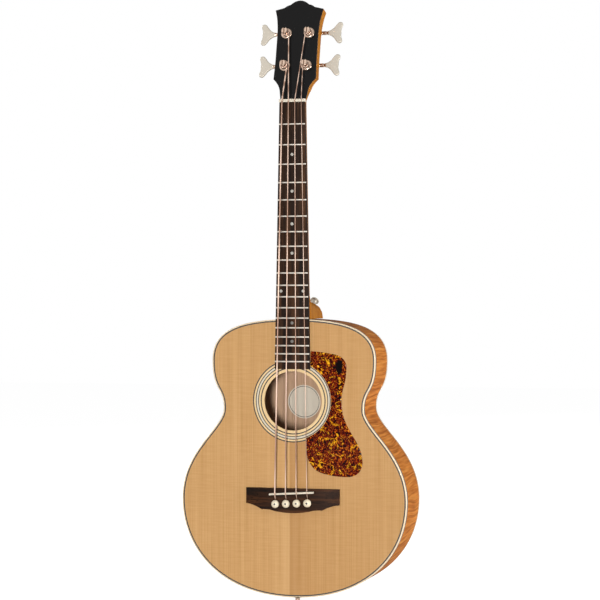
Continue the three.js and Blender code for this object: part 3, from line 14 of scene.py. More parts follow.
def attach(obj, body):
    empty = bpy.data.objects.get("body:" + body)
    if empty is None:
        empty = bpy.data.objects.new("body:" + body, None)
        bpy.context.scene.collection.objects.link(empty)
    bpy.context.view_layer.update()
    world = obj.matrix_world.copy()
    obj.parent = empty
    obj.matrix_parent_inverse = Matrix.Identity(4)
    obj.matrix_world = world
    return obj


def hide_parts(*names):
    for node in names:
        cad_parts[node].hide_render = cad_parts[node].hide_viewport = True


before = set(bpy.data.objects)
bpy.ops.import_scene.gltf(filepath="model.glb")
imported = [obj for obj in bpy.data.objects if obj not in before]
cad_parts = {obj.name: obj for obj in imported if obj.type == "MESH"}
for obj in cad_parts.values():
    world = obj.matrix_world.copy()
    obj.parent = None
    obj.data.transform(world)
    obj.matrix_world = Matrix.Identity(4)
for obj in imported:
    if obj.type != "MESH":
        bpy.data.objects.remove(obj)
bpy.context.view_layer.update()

# %% [markdown]
# Finishes come first, and each one starts from what the real surface is made of. A material could be set
# up by hand in the shader editor, but written down it can be read, compared and changed in one place.
# Colours are sRGB hex values, as they are picked from a screen. One function makes them linear, because
# the renderer adds light in linear numbers.

# %% Colours, sockets and nodes
MM = 0.001


def linear(code):
    """An sRGB hex colour as linear red, green, blue and alpha."""
    parts = [int(code[i:i + 2], 16) / 255 for i in (0, 2, 4)]
    return tuple(c / 12.92 if c <= 0.04045 else ((c + 0.055) / 1.055) ** 2.4 for c in parts) + (1.0,)


def plug(tree, node, inputs):
    """Fills a node's inputs: a socket is linked, a hex code becomes a colour, anything else is a value."""
    for key, value in inputs.items():
        if isinstance(value, bpy.types.NodeSocket):
            tree.links.new(value, node.inputs[key])
        else:
            node.inputs[key].default_value = linear(value) if isinstance(value, str) else value


def add_node(tree, kind, inputs={}, out=0, stops=(), **settings):
    """Adds a shader node and returns an output; stops are a colour ramp's pairs of place and hex code."""
    node = tree.nodes.new("ShaderNode" + kind)
    for key, value in settings.items():
        setattr(node, key, value)
    plug(tree, node, inputs)
    for number, (place, code) in enumerate(stops):
        stop = node.color_ramp.elements[number] if number < 2 else node.color_ramp.elements.new(place)
        stop.position, stop.color = place, linear(code)
    return node.outputs[out]


# %% A new finish
def start_finish(name, color, roughness, **sockets):
    """A new material with its colour and shine; returns it with its node tree and its shader."""
    finish = bpy.data.materials.new(name)
    finish.use_nodes = True
    tree = finish.node_tree
    shader = tree.nodes["Principled BSDF"]
    plug(tree, shader, {"Base Color": color, "Roughness": roughness})
    plug(tree, shader, {key.replace("_", " "): value for key, value in sockets.items()})
    print("finish:", name)
    return finish, tree, shader


# %% [markdown]
# The top is two book-matched leaves of spruce under clear gloss lacquer. Lines of grain run along the
# guitar, about 1.6 mm apart, in broader bands some 10 mm wide, with a faint silk across them. The leaves
# mirror each other at the seam, 5.5 mm to the bass side of the middle, and catch the light differently,
# so beside the seam the treble leaf looks darker and the bass leaf paler. Grain could be drawn with a
# wave pattern, but waves are too even. Noise stretched along the grain gives lines that come and go, as
# real ones do. The wood has almost no shine of its own, and the coat over it is the lacquer. The coat is
# thin, because the whole white studio shows in it, and a full one would veil the wood.

# %% Lacquered spruce
SEAM_OFFSET = 5.5 * MM
SPRUCE = {"dark": "b58750", "middle": "c59761", "light": "cfa36f", "pale": "d9b07c", "shaded": "94622f"}


def make_spruce():
    finish, tree, shader = start_finish("lacquered_spruce", "c99b66", 0.6, Specular_IOR_Level=0.05,
                                        Coat_Weight=0.2, Coat_Roughness=0.07)
    place = add_node(tree, "TexCoord", out="Object")
    centred = add_node(tree, "VectorMath", {0: place, 1: (SEAM_OFFSET, 0, 0)}, operation="ADD")
    across = add_node(tree, "SeparateXYZ", {"Vector": centred}, "X")
    mirrored = add_node(tree, "VectorMath", {0: centred}, operation="ABSOLUTE")
    line_place = add_node(tree, "Mapping", {"Vector": mirrored, "Scale": (620, 1, 5)})
    lines = add_node(tree, "TexNoise", {"Vector": line_place, "Scale": 1.0, "Detail": 2.0})
    band_place = add_node(tree, "Mapping", {"Vector": mirrored, "Scale": (95, 1, 3)})
    bands = add_node(tree, "TexNoise", {"Vector": band_place, "Scale": 1.0, "Detail": 3.0})
    silk_place = add_node(tree, "Mapping", {"Vector": mirrored, "Scale": (34, 1, 420)})
    silk = add_node(tree, "TexNoise", {"Vector": silk_place, "Scale": 1.0, "Detail": 2.0})
    fine = add_node(tree, "ValToRGB", {"Fac": lines}, stops=(
        (0.25, SPRUCE["dark"]), (0.5, SPRUCE["middle"]), (0.75, SPRUCE["light"])))
    broad = add_node(tree, "ValToRGB", {"Fac": bands}, stops=((0.3, SPRUCE["dark"]), (0.7, SPRUCE["light"])))
    shine = add_node(tree, "ValToRGB", {"Fac": silk}, stops=((0.35, SPRUCE["dark"]), (0.65, SPRUCE["pale"])))
    wood = add_node(tree, "MixRGB", {"Fac": 0.34, "Color1": fine, "Color2": broad})
    wood = add_node(tree, "MixRGB", {"Fac": 0.13, "Color1": wood, "Color2": shine})
    # From 100 mm on the bass side of the seam to 100 mm on its treble side. The greys in the two ramps below
    # are shares: how much of the shaded or the pale colour is mixed in there. Both are painted light: painted
    # shade on the treble leaf and a painted paler tone on the bass leaf.
    side = add_node(tree, "MapRange", {"Value": across, "From Min": -0.1, "From Max": 0.1})
    darker = add_node(tree, "ValToRGB", {"Fac": side}, stops=(
        (0.499, "000000"), (0.501, "9a9a9a"), (0.58, "888888"), (0.68, "606060"), (1.0, "4c4c4c")))
    paler = add_node(tree, "ValToRGB", {"Fac": side}, stops=(
        (0.3, "000000"), (0.42, "606060"), (0.499, "969696"), (0.501, "000000")))
    wood = add_node(tree, "MixRGB", {"Fac": darker, "Color1": wood, "Color2": SPRUCE["shaded"]})
    wood = add_node(tree, "MixRGB", {"Fac": paler, "Color1": wood, "Color2": SPRUCE["pale"]})
    grain = add_node(tree, "Bump", {"Height": lines, "Strength": 0.3, "Distance": 0.03 * MM})
    plug(tree, shader, {"Base Color": wood, "Normal": grain})
    return finish


spruce = make_spruce()

# %% [markdown]
# Flamed maple has waves in its fibres, so bands of light and shade run across the sides, some 5 mm
# apart, with finer threads about 2.4 mm apart between them. Amber lacquer warms it. The pattern could
# read object coordinates, but then it would run straight through the bend. It follows the bent side by
# the piece's own UV map, which counts metres along the rim and across it, and a second noise sways it.

# %% Flamed maple
def make_flamed_maple():
    finish, tree, shader = start_finish("amber_flamed_maple", "c47e3e", 0.5, Specular_IOR_Level=0.0,
                                        Coat_Weight=0.05, Coat_Roughness=0.08)
    uv = add_node(tree, "TexCoord", out="UV")
    sway_place = add_node(tree, "Mapping", {"Vector": uv, "Scale": (14, 9, 1)})
    sway = add_node(tree, "TexNoise", {"Vector": sway_place, "Scale": 1.0, "Detail": 1.5})
    moved = add_node(tree, "Math", {0: sway, 1: 0.02}, operation="MULTIPLY")
    swayed = add_node(tree, "VectorMath", {0: uv, 1: moved}, operation="ADD")
    flame_place = add_node(tree, "Mapping", {
        "Vector": swayed, "Scale": (190, 11, 1), "Location": (2.4, 0, 0)})
    flame = add_node(tree, "TexNoise", {
        "Vector": flame_place, "Scale": 1.0, "Detail": 2.0, "Roughness": 0.4})
    fine_place = add_node(tree, "Mapping", {
        "Vector": swayed, "Scale": (420, 14, 1), "Rotation": (0, 0, 0.12)})
    fine = add_node(tree, "TexNoise", {"Vector": fine_place, "Scale": 1.0, "Detail": 2.0})
    patch_place = add_node(tree, "Mapping", {"Vector": uv, "Scale": (10, 14, 1), "Location": (4, 2, 0)})
    patches = add_node(tree, "TexNoise", {"Vector": patch_place, "Scale": 1.0, "Detail": 2.0})
    stripes = add_node(tree, "ValToRGB", {"Fac": flame}, stops=(
        (0.32, "98501a"), (0.46, "bf6a28"), (0.56, "da8436"), (0.7, "ec9f4a")))
    plain = add_node(tree, "ValToRGB", {"Fac": patches}, stops=((0.3, "ae601d"), (0.7, "e08d38")))
    threads = add_node(tree, "ValToRGB", {"Fac": fine}, stops=((0.36, "7c3b0e"), (0.64, "eaa04a")))
    wood = add_node(tree, "MixRGB", {"Fac": 0.3, "Color1": stripes, "Color2": plain})
    wood = add_node(tree, "MixRGB", {"Fac": 0.3, "Color1": wood, "Color2": threads})
    plug(tree, shader, {"Base Color": wood})
    return finish


flamed_maple = make_flamed_maple()

# %% [markdown]
# Inside the body the wood is sanded and has no lacquer, so it looks pale and dull. The soundhole shows
# only a little of it. One noise stretched along the grain is enough: on maple its lines are 2 mm wide,
# on the spruce braces 5 mm, much coarser than the real ones, which would not show at this size.

# %% Bare wood
def make_bare_wood(name, dark, light, lines):
    """Sanded wood; lines says how many there are to the metre along each axis."""
    finish, tree, shader = start_finish(name, light, 0.75)
    place = add_node(tree, "TexCoord", out="Object")
    stretched = add_node(tree, "Mapping", {"Vector": place, "Scale": lines})
    grain = add_node(tree, "TexNoise", {"Vector": stretched, "Scale": 1.0, "Detail": 4.0})
    wood = add_node(tree, "ValToRGB", {"Fac": grain}, stops=((0.3, dark), (0.7, light)))
    ridges = add_node(tree, "Bump", {"Height": grain, "Strength": 0.4, "Distance": 0.05 * MM})
    plug(tree, shader, {"Base Color": wood, "Normal": ridges})
    return finish


bare_maple = make_bare_wood("bare_maple_inside", "b69172", "c6a283", (420, 60, 9))
bare_spruce = make_bare_wood("bare_spruce_braces", "c3a273", "dfc595", (200, 200, 60))

# %% [markdown]
# The neck is a straight-grained hardwood under gloss amber lacquer, and long pores run along it. It could
# share the maple's flame, but this wood shows thin dark dashes instead: noise drawn out 70 mm along the
# neck. Real pores are 0.2 mm wide and would not show, so these are drawn 2 mm wide, over bands of 17 mm.

# %% Neck wood
def make_neck_wood():
    finish, tree, shader = start_finish("amber_lacquered_neck", "c67c2c", 0.5, Specular_IOR_Level=0.0,
                                        Coat_Weight=0.05, Coat_Roughness=0.1)
    place = add_node(tree, "TexCoord", out="Object")
    pore_place = add_node(tree, "Mapping", {"Vector": place, "Scale": (500, 500, 14)})
    pores = add_node(tree, "TexNoise", {"Vector": pore_place, "Scale": 1.0, "Detail": 3.0})
    band_place = add_node(tree, "Mapping", {"Vector": place, "Scale": (60, 60, 5)})
    bands = add_node(tree, "TexNoise", {"Vector": band_place, "Scale": 1.0, "Detail": 2.0})
    broad = add_node(tree, "ValToRGB", {"Fac": bands}, stops=((0.3, "a8641c"), (0.7, "c4802c")))
    thin = add_node(tree, "ValToRGB", {"Fac": pores}, stops=((0.35, "824513"), (0.6, "cf8e38")))
    wood = add_node(tree, "MixRGB", {"Fac": 0.3, "Color1": broad, "Color2": thin})
    ridges = add_node(tree, "Bump", {"Height": pores, "Strength": 0.3, "Distance": 0.03 * MM})
    plug(tree, shader, {"Base Color": wood, "Normal": ridges})
    return finish


neck_wood = make_neck_wood()

# %% [markdown]
# Rosewood is dark, oily and open-grained: short dark pores on brown streaks. The fingerboard's grain
# runs along the neck and the bridge's across the body. A single texture could serve both if it were
# turned, but their browns differ too, so one function takes both scales and three browns. Real pores
# are 0.3 mm wide. They are drawn about 1 mm wide, so that they show.

# %% Rosewood
def make_rosewood(name, pore_scale, streak_scale, dark, middle, light):
    """Oiled, unlacquered wood; the scales say how many pores and streaks there are to the metre."""
    finish, tree, shader = start_finish(name, middle, 0.5, Specular_IOR_Level=0.06)
    place = add_node(tree, "TexCoord", out="Object")
    streak_place = add_node(tree, "Mapping", {"Vector": place, "Scale": streak_scale})
    streaks = add_node(tree, "TexNoise", {"Vector": streak_place, "Scale": 1.0, "Detail": 4.0})
    pore_place = add_node(tree, "Mapping", {"Vector": place, "Scale": pore_scale})
    pores = add_node(tree, "TexNoise", {"Vector": pore_place, "Scale": 1.0, "Detail": 2.0})
    brown = add_node(tree, "ValToRGB", {"Fac": streaks}, stops=((0.34, dark), (0.5, middle), (0.66, light)))
    holes = add_node(tree, "ValToRGB", {"Fac": pores}, stops=((0.36, "0e0b09"), (0.46, "ffffff")))
    wood = add_node(tree, "MixRGB", {"Fac": 0.6, "Color1": brown, "Color2": holes}, blend_type="MULTIPLY")
    ridges = add_node(tree, "Bump", {"Height": pores, "Strength": 0.5, "Distance": 0.06 * MM})
    plug(tree, shader, {"Base Color": wood, "Normal": ridges})
    return finish


board_rosewood = make_rosewood("oiled_rosewood_board", (900, 900, 40), (130, 60, 5),
                               "170e09", "2b1b11", "50341f")
bridge_rosewood = make_rosewood("oiled_rosewood_bridge", (40, 900, 900), (5, 60, 160),
                                "1b110b", "301c10", "4a2c18")

# %% [markdown]
# The pickguard imitates tortoiseshell: flakes of dark red, amber and yellow celluloid, polished. Flakes
# could be the cells of a Voronoi texture, but those have straight sides. Noise that is drawn out and
# stirred gives curled flakes, 2 to 4 mm long, and a broader noise gathers the yellow ones in places. One
# broad flake near the upper corner is almost black: a round spot in the stirred coordinates, so that its
# edge curls as the others do.

# %% Tortoiseshell celluloid
DARK_FLAKE = (0.0856, 0.002, -0.4137)
STIR = 0.03


def make_tortoiseshell():
    finish, tree, shader = start_finish("tortoiseshell_celluloid", "6a2c14", 0.5, Specular_IOR_Level=0.0,
                                        Coat_Weight=0.12, Coat_Roughness=0.03)
    place = add_node(tree, "TexCoord", out="Object")
    stir = add_node(tree, "TexNoise", {"Vector": place, "Scale": 70.0, "Detail": 2.0}, "Color")
    swirl = add_node(tree, "VectorMath", {0: stir, 1: (STIR, STIR, STIR), 2: place}, operation="MULTIPLY_ADD")
    drawn = add_node(tree, "Mapping", {"Vector": swirl, "Rotation": (0, 0.6, 0), "Scale": (460, 460, 250)})
    flakes = add_node(tree, "TexNoise", {"Vector": drawn, "Scale": 1.0, "Detail": 2.0, "Roughness": 0.6})
    reds = add_node(tree, "ValToRGB", {"Fac": flakes}, stops=(
        (0.39, "0a0000"), (0.47, "320301"), (0.53, "6a1001"), (0.58, "8e2602"), (0.62, "ba5a06"),
        (0.7, "de961e")))
    aside = add_node(tree, "Mapping", {"Vector": place, "Location": (0.13, 0, 0.05)})
    gathers = add_node(tree, "TexNoise", {"Vector": aside, "Scale": 85.0, "Detail": 2.0, "Distortion": 1.2})
    mixed = add_node(tree, "Math", {0: flakes, 1: 0.45, 2: gathers}, operation="MULTIPLY_ADD")
    bright = add_node(tree, "MapRange", {"Value": mixed, "From Min": 0.82, "From Max": 0.87})
    yellows = add_node(tree, "ValToRGB", {"Fac": flakes}, stops=(
        (0.4, "903c02"), (0.53, "d88e06"), (0.66, "f0b622")))
    flake_colors = add_node(tree, "MixRGB", {"Fac": bright, "Color1": reds, "Color2": yellows})
    from_spot = add_node(tree, "VectorMath", {0: swirl, 1: DARK_FLAKE}, operation="SUBTRACT")
    # The dark flake reaches 1/150 m to each side and 1/95 m up and down.
    flattened = add_node(tree, "VectorMath", {0: from_spot, 1: (150, 0, 95)}, operation="MULTIPLY")
    far = add_node(tree, "VectorMath", {0: flattened}, "Value", operation="LENGTH")
    beyond = add_node(tree, "MapRange", {"Value": far, "From Min": 0.8, "From Max": 1.0})
    flake_colors = add_node(tree, "MixRGB", {"Fac": beyond, "Color1": "0b0203", "Color2": flake_colors})
    plug(tree, shader, {"Base Color": flake_colors})
    return finish


tortoiseshell = make_tortoiseshell()

# %% [markdown]
# The small parts are nearly plain: plastic, bone, pearl, black lacquer, paper and plated metal. One flat
# colour would look dead, and a pattern for each would be lost on parts this small. One function gives
# each a cloud in its colour, faint on plastic and metal and strong in pearl, and a touch of it in the
# shine. The cloud is 1 to 8 mm across, coarser than the real one, so that it shows.

# %% Plain finishes
def make_plain(name, color, roughness, cloud_strength=0.06, scale=300.0, **sockets):
    """One colour with a cloud in it; scale says how many clouds there are to the metre."""
    finish, tree, shader = start_finish(name, color, roughness, **sockets)
    place = add_node(tree, "TexCoord", out="Object")
    cloud = add_node(tree, "TexNoise", {"Vector": place, "Scale": scale, "Detail": 3.0})
    value = add_node(tree, "Math", {0: cloud, 1: cloud_strength, 2: 1 - cloud_strength / 2},
                     operation="MULTIPLY_ADD")
    tint = add_node(tree, "HueSaturation", {"Color": color, "Value": value})
    worn = add_node(tree, "Math", {0: cloud, 1: 0.1, 2: roughness - 0.05}, operation="MULTIPLY_ADD")
    plug(tree, shader, {"Base Color": tint, "Roughness": worn})
    return finish


# %% Plastic, bone, inlays and lacquer
# Celluloid and moulded plastic: warm cream with a soft gloss.
ivory = make_plain("ivory_celluloid", "e2cba6", 0.4, Coat_Weight=0.4, Coat_Roughness=0.05)
pin_plastic = make_plain("ivory_plastic_pins", "e6d9bd", 0.35, Coat_Weight=0.3)
# Polished bone is paler and has faint streaks. The pale rosette wood is lacquered with the top.
bone = make_plain("polished_bone", "e3d8c4", 0.35, 0.1, 500.0)
pale_wood = make_plain("pale_rosette_wood", "dcbb84", 0.5, 0.2, 700.0, Coat_Weight=0.4, Coat_Roughness=0.07)
# Dyed fibre makes the thin dark lines. It is dull, so it reads as a line and never as a glint.
dark_line = make_plain("dark_brown_fibre", "2a1f11", 0.5)
black_line = make_plain("black_fibre", "221705", 0.5)
# Pearl shimmers: its cloud is strong and about 1 mm across. The dots past the twelfth fret get a darker
# pearl, which is painted shade: there they catch less light.
pearl = make_plain("pearl_inlay", "cfc4ae", 0.3, 0.5, 900.0, Coat_Weight=0.6)
grey_pearl = make_plain("grey_pearl_dots", "aaa69c", 0.3, 0.5, 900.0, Coat_Weight=0.6)
pearl_with_painted_shade = make_plain("pearl_dots_with_painted_shade", "68645e", 0.3, 0.5, 900.0, Coat_Weight=0.2)
# Black lacquer stays deep, with a faint gloss. Dull paper takes light evenly.
black_gloss = make_plain("black_gloss_lacquer", "0d0c0c", 0.3, Specular_IOR_Level=0.06, Coat_Weight=0.05,
                         Coat_Roughness=0.06)
black_dot = make_plain("black_dot", "1a1512", 0.4)
paper = make_plain("blank_paper_label", "dbd0bd", 0.8, 0.05, 120.0)

# %% Metals
# The white studio shows in every metal, so these colours are what the eye sees of it: polished nickel on the
# turned parts, warm partly from its own tint and partly from a painted reflection of the amber wood and
# bronze strings round it, satin keys, bright frets, yellow brass gears and grey steel worms.
nickel = make_plain("nickel_tint_and_painted_warm_reflection", "ac9584", 0.2, 0.04, 250.0, Metallic=1.0)
key_nickel = make_plain("pale_satin_nickel_keys", "b5aea2", 0.6, 0.04, 250.0, Metallic=1.0)
fret_nickel = make_plain("polished_fret_wire", "c4bcb1", 0.32, 0.04, 250.0, Metallic=1.0)
brass = make_plain("machined_brass", "c8a35c", 0.3, 0.06, 250.0, Metallic=1.0)
steel = make_plain("plain_steel", "8d8d90", 0.4, 0.06, 250.0, Metallic=1.0)

# %% [markdown]
# The strings are wound with phosphor bronze wire: a reddish metal with ridges across the string. A real helix
# of wire would take hundreds of thousands of faces, so the ridges are a bump along the string's UV map, with
# waves in the colour that paint shade into the grooves and light onto the crests. Real ones are half a
# millimetre apart and would not show. These are drawn 5 mm apart. A wave texture counts 20 radians to its
# unit, which gives its scale.

# %% Bronze winding
RIDGE_SCALE = 62.5
print("ridges of the winding, mm apart:", round(2 * math.pi / 20 / RIDGE_SCALE / MM, 2))


def make_bronze_winding():
    finish, tree, shader = start_finish("phosphor_bronze_winding", "a98570", 0.4, Metallic=1.0)
    uv = add_node(tree, "TexCoord", out="UV")
    ridges = add_node(tree, "TexWave", {"Vector": uv, "Scale": RIDGE_SCALE, "Distortion": 0.0}, out="Fac",
                      wave_type="BANDS", bands_direction="X")
    # Painted shade in the grooves between the ridges and painted light on their crests.
    wire = add_node(tree, "ValToRGB", {"Fac": ridges}, stops=((0.1, "987968"), (0.7, "ccb09e")))
    wound = add_node(tree, "Bump", {"Height": ridges, "Strength": 0.6, "Distance": 0.08 * MM})
    plug(tree, shader, {"Base Color": wire, "Normal": wound})
    return finish


bronze = make_bronze_winding()

# %% [markdown]
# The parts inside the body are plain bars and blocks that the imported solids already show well. They
# could be modelled again, but nothing would be gained, so these nodes keep their own mesh and only get a
# finish on their material slots.

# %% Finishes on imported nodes
KEPT = {
    bare_spruce: ("neck_block", "tail_block", "x_brace_bass_leg", "x_brace_treble_leg", "transverse_brace",
                  "tone_bar_upper", "tone_bar_lower"),
    bare_maple: ("bridge_plate",),
    steel: ("truss_rod",),
    brass: ("truss_rod_nut",),
}
for finish, names in KEPT.items():
    for name in names:
        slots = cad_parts[name].data.materials
        slots.clear()
        slots.append(finish)
    print(finish.name, "on", len(names), "packed nodes")

# %% [markdown]
# A maker draws a guitar in millimetres, with the front of the nut as zero height and the face of the top
# as depth zero. The headstock leans back from there, so it has a drawing of its own. Each piece is drawn
# in one of these two drawings, and a matrix carries its mesh to its place in metres. The object could be
# moved instead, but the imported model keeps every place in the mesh, and so does this scene.

# %% Two drawings
DRAWING_ZERO = (0, -8, -19)
GUITAR = Matrix.Scale(MM, 4) @ Matrix.Translation(DRAWING_ZERO)
TILT = math.radians(15)
NUT_BACK = 5
HEAD = GUITAR @ Matrix.Translation((0, 0, NUT_BACK)) @ Matrix.Rotation(-TILT, 4, "X")
IN_PLACE = Matrix.Identity(4)
SHARP_ANGLE = math.radians(35)
print("zero of the guitar's drawing, in metres:", [round(c, 4) for c in GUITAR.translation])

# %% From a drawn mesh to a piece
def add_piece(name, bm, place, finishes, body, stands_for=(), turn_outward=True):
    """Carries a drawn mesh to its place, says what it is and what it moves with, and hides what it replaces.
    """
    bmesh.ops.transform(bm, matrix=place, verts=bm.verts)
    if turn_outward:
        bmesh.ops.recalc_face_normals(bm, faces=bm.faces)
    for face in bm.faces:
        face.smooth = True
    for edge in bm.edges:
        edge.smooth = edge.calc_face_angle(0) < SHARP_ANGLE
    mesh = bpy.data.meshes.new(name)
    bm.to_mesh(mesh)
    bm.free()
    piece = bpy.data.objects.new(name, mesh)
    bpy.context.scene.collection.objects.link(piece)
    for finish in finishes:
        mesh.materials.append(finish)
    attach(piece, body)
    if stands_for:
        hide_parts(*stands_for)
    print(f"{name}: {len(mesh.polygons)} faces, moves with {body}")
    return piece


# %% [markdown]
# The body's outline is four Bezier curves down one side: over the upper bout, into the waist, out to
# the lower bout and round to the tail. It could be one list of measured points, but four curves stay
# smooth and can be changed by a width. The neck meets the body at the fourteenth fret. Every edge piece
# follows the outline at its own inset, so one function gives the outline moved inward.

# %% Scale length and body outline
SCALE_LENGTH = 603


def fret_distance(number):
    """From the nut to a fret: each one shortens the string by the twelfth root of two."""
    return SCALE_LENGTH * (1 - 2 ** (-number / 12))


BODY_TOP = -(fret_distance(14) + 1.6)
BODY_LENGTH = 432
UPPER, WAIST, LOWER = (131, 64), (112.5, 140), (180.5, 281)
CURVE_STEPS = 28


def bezier_stations():
    """Points down the treble side, top to tail; each handle's length is a share of its curve's reach."""
    (ux, ud), (wx, wd), (lx, ld), end = UPPER, WAIST, LOWER, BODY_LENGTH
    curves = [
        ((0, 0), (0.66 * ux, 0), (ux, ud * (1 - 0.74)), (ux, ud)),
        ((ux, ud), (ux, ud + 0.66 * (wd - ud)), (wx, wd - 0.45 * (wd - ud)), (wx, wd)),
        ((wx, wd), (wx, wd + 0.22 * (ld - wd)), (lx, ld - 0.53 * (ld - wd)), (lx, ld)),
        ((lx, ld), (lx, ld + 0.53 * (end - ld)), (0.66 * lx, end), (0, end)),
    ]
    points = [Vector((0.0, 0.0))]
    for curve in curves:
        points += geometry.interpolate_bezier(*[Vector(point) for point in curve], CURVE_STEPS)[1:]
    return [Vector((x, BODY_TOP - drop)) for x, drop in points]


STATIONS = bezier_stations()
OUTWARD = []
for i in range(len(STATIONS)):
    along = STATIONS[min(i + 1, len(STATIONS) - 1)] - STATIONS[max(i - 1, 0)]
    OUTWARD.append(Vector((-along.y, along.x)).normalized())
OUTWARD[0], OUTWARD[-1] = Vector((0, 1)), Vector((0, -1))
print("body from", round(BODY_TOP), "to", round(BODY_TOP - BODY_LENGTH), "mm,", len(STATIONS), "stations")

# %% Depth of the sides and lines of points
RIM_AT_NECK, RIM_AT_TAIL = 86, 104
RIM_LENGTHS = [0.0]
for here, there in zip(STATIONS, STATIONS[1:]):
    RIM_LENGTHS.append(RIM_LENGTHS[-1] + (there - here).length)


def rim_depth(z):
    """Depth of the sides' back edge at a height."""
    return RIM_AT_NECK + (RIM_AT_TAIL - RIM_AT_NECK) * (BODY_TOP - z) / BODY_LENGTH


def above_back(height):
    """A depth that stays a given height in front of the back edge."""
    return lambda z: rim_depth(z) - height


def half_line(inset, depth, side=1):
    """The outline of one half, moved inward, at a depth that may depend on the height."""
    line = []
    for point, outward in zip(STATIONS, OUTWARD):
        x, z = point - outward * inset
        line.append(Vector((side * max(x, 0.0), depth(z) if callable(depth) else depth, z)))
    return line


print("rim length, one side, in mm:", round(RIM_LENGTHS[-1]))

# %% [markdown]
# Most of the body is made of lines of points that follow the outline, bridged into a skin. The faces
# could be listed by number, but bridge_loops finds them by itself. Only the treble half is drawn and
# then mirrored, as a maker folds a template. What is round is spun from a profile, as on a lathe.

# %% Lines, skins and turned shapes
def add_line(bm, points, closed=False):
    """A line of points joined by edges."""
    verts = [bm.verts.new(point) for point in points]
    ends = verts[1:] + (verts[:1] if closed else [])
    return verts, [bm.edges.new(pair) for pair in zip(verts, ends)]


def skin(bm, lines, closed=False, round_again=False):
    """Bridges each line of points to the next one, and the last to the first if asked."""
    rows = [add_line(bm, line, closed) for line in lines]
    edges = [row[1] for row in rows]
    if round_again:
        edges.append(edges[0])
    for here, there in zip(edges, edges[1:]):
        bmesh.ops.bridge_loops(bm, edges=here + there)
    return rows


def turned(bm, profile, segments=40):
    """Spins a profile of (radius, depth) pairs round the Y axis, as on a lathe."""
    verts, edges = add_line(bm, [(radius, y, 0) for radius, y in profile])
    bmesh.ops.spin(bm, geom=verts + edges, axis=(0, 1, 0), cent=(0, 0, 0), angle=2 * math.pi,
                   steps=segments, use_merge=True, use_duplicate=False)
    bmesh.ops.remove_doubles(bm, verts=bm.verts, dist=1e-4)


# %% Mirrored and joined meshes
def everything(bm):
    """All the geometry of a mesh, as the operators take it."""
    return bm.verts[:] + bm.edges[:] + bm.faces[:]


def both_sides(bm):
    """Mirrors a treble half to the bass side and joins the two at the seam."""
    bmesh.ops.mirror(bm, geom=everything(bm), matrix=IN_PLACE, merge_dist=0.01, axis="X")
    bmesh.ops.remove_doubles(bm, verts=bm.verts, dist=1e-3)


def join(bm, part, material=0):
    """Adds one drawn mesh to another, with the number of its finish."""
    for face in part.faces:
        face.material_index = material
    mesh = bpy.data.meshes.new("part")
    part.to_mesh(mesh)
    part.free()
    bm.from_mesh(mesh)
    bpy.data.meshes.remove(mesh)


# %% [markdown]
# The top is a spruce plate with the soundhole in it, and a rosette of inlaid rings round the hole: pale
# wood, dark fibre and a band of pearl. The hole could be cut with a boolean, but that leaves long thin
# faces. Here the plate is bridged from the body's outline to a circle, point by point, and the rings are
# turned on a lathe, as a router turns their channels round the middle of the hole.

# %% Soundhole and rings
HOLE = BODY_TOP - 126.9
HOLE_RADIUS, ROSETTE_RADIUS = 46.2, 64.6
RING_STEPS = 120
INLAY_DEPTH = 1.2
TOP_THICKNESS = 2.8


def hole_line(radius, depth, outer):
    """Half a circle round the soundhole, with one point in line with each point of an outer line."""
    middle = Vector((0, 0, HOLE))
    rays = [Vector((x, 0, z)) - middle for x, y, z in outer]
    return [middle + ray.normalized() * radius + Vector((0, depth, 0)) for ray in rays]


def half_slab(bm, inset, radius, front, back):
    """Half a plate from the outline, moved inward, to a circle round the soundhole."""
    outer = half_line(inset, front)
    skin(bm, [outer, half_line(inset, back), hole_line(radius, back, outer), hole_line(radius, front, outer)],
         round_again=True)


def flat_ring(bm, inner, outer, depth, thickness, material):
    """A ring with a square section round the middle of the soundhole."""
    part = bmesh.new()
    turned(part, [(inner, depth), (outer, depth), (outer, depth + thickness), (inner, depth + thickness),
                  (inner, depth)], RING_STEPS)
    bmesh.ops.translate(part, verts=part.verts, vec=(0, 0, HOLE))
    join(bm, part, material)


print("middle of the soundhole, mm below the nut:", round(-HOLE, 1))

# %% Spruce top
BINDING_WIDTH, PURFLING_INSET, BACKING_INSET = 1.8, 3.9, 2.3
PALE_RINGS = ((60.2, 62.8), (52.2, 54.9), (HOLE_RADIUS, 50.4))
bm = bmesh.new()
half_slab(bm, PURFLING_INSET, ROSETTE_RADIUS, 0, INLAY_DEPTH)
both_sides(bm)
backing = bmesh.new()
half_slab(backing, BACKING_INSET, HOLE_RADIUS, INLAY_DEPTH, TOP_THICKNESS)
both_sides(backing)
join(bm, backing)
for inner, outer in PALE_RINGS:
    flat_ring(bm, inner, outer, 0, INLAY_DEPTH, 1)
add_piece("spruce_top", bm, GUITAR, [spruce, pale_wood], "guitar", ["soundboard"])

# %% Inlaid rings
PROUD = -0.02
RINGS = {
    "rosette_inner_ring": ("dark_inlay", ((50.4, 52.2, black_line),)),
    "rosette_outer_ring": ("dark_inlay", ((62.8, ROSETTE_RADIUS, black_line),)),
    "rosette_band": ("pearl_inlay", (
        (54.9, 56.3, black_line), (56.3, 58.8, pearl), (58.8, 60.2, black_line))),
}
for node_name, (slot_name, parts) in RINGS.items():
    bm = bmesh.new()
    finishes = []
    for inner, outer, finish in parts:
        if finish not in finishes:
            finishes.append(finish)
        flat_ring(bm, inner, outer, PROUD, INLAY_DEPTH, finishes.index(finish))
    add_piece("inlaid_" + node_name, bm, GUITAR, finishes, "guitar", [node_name])

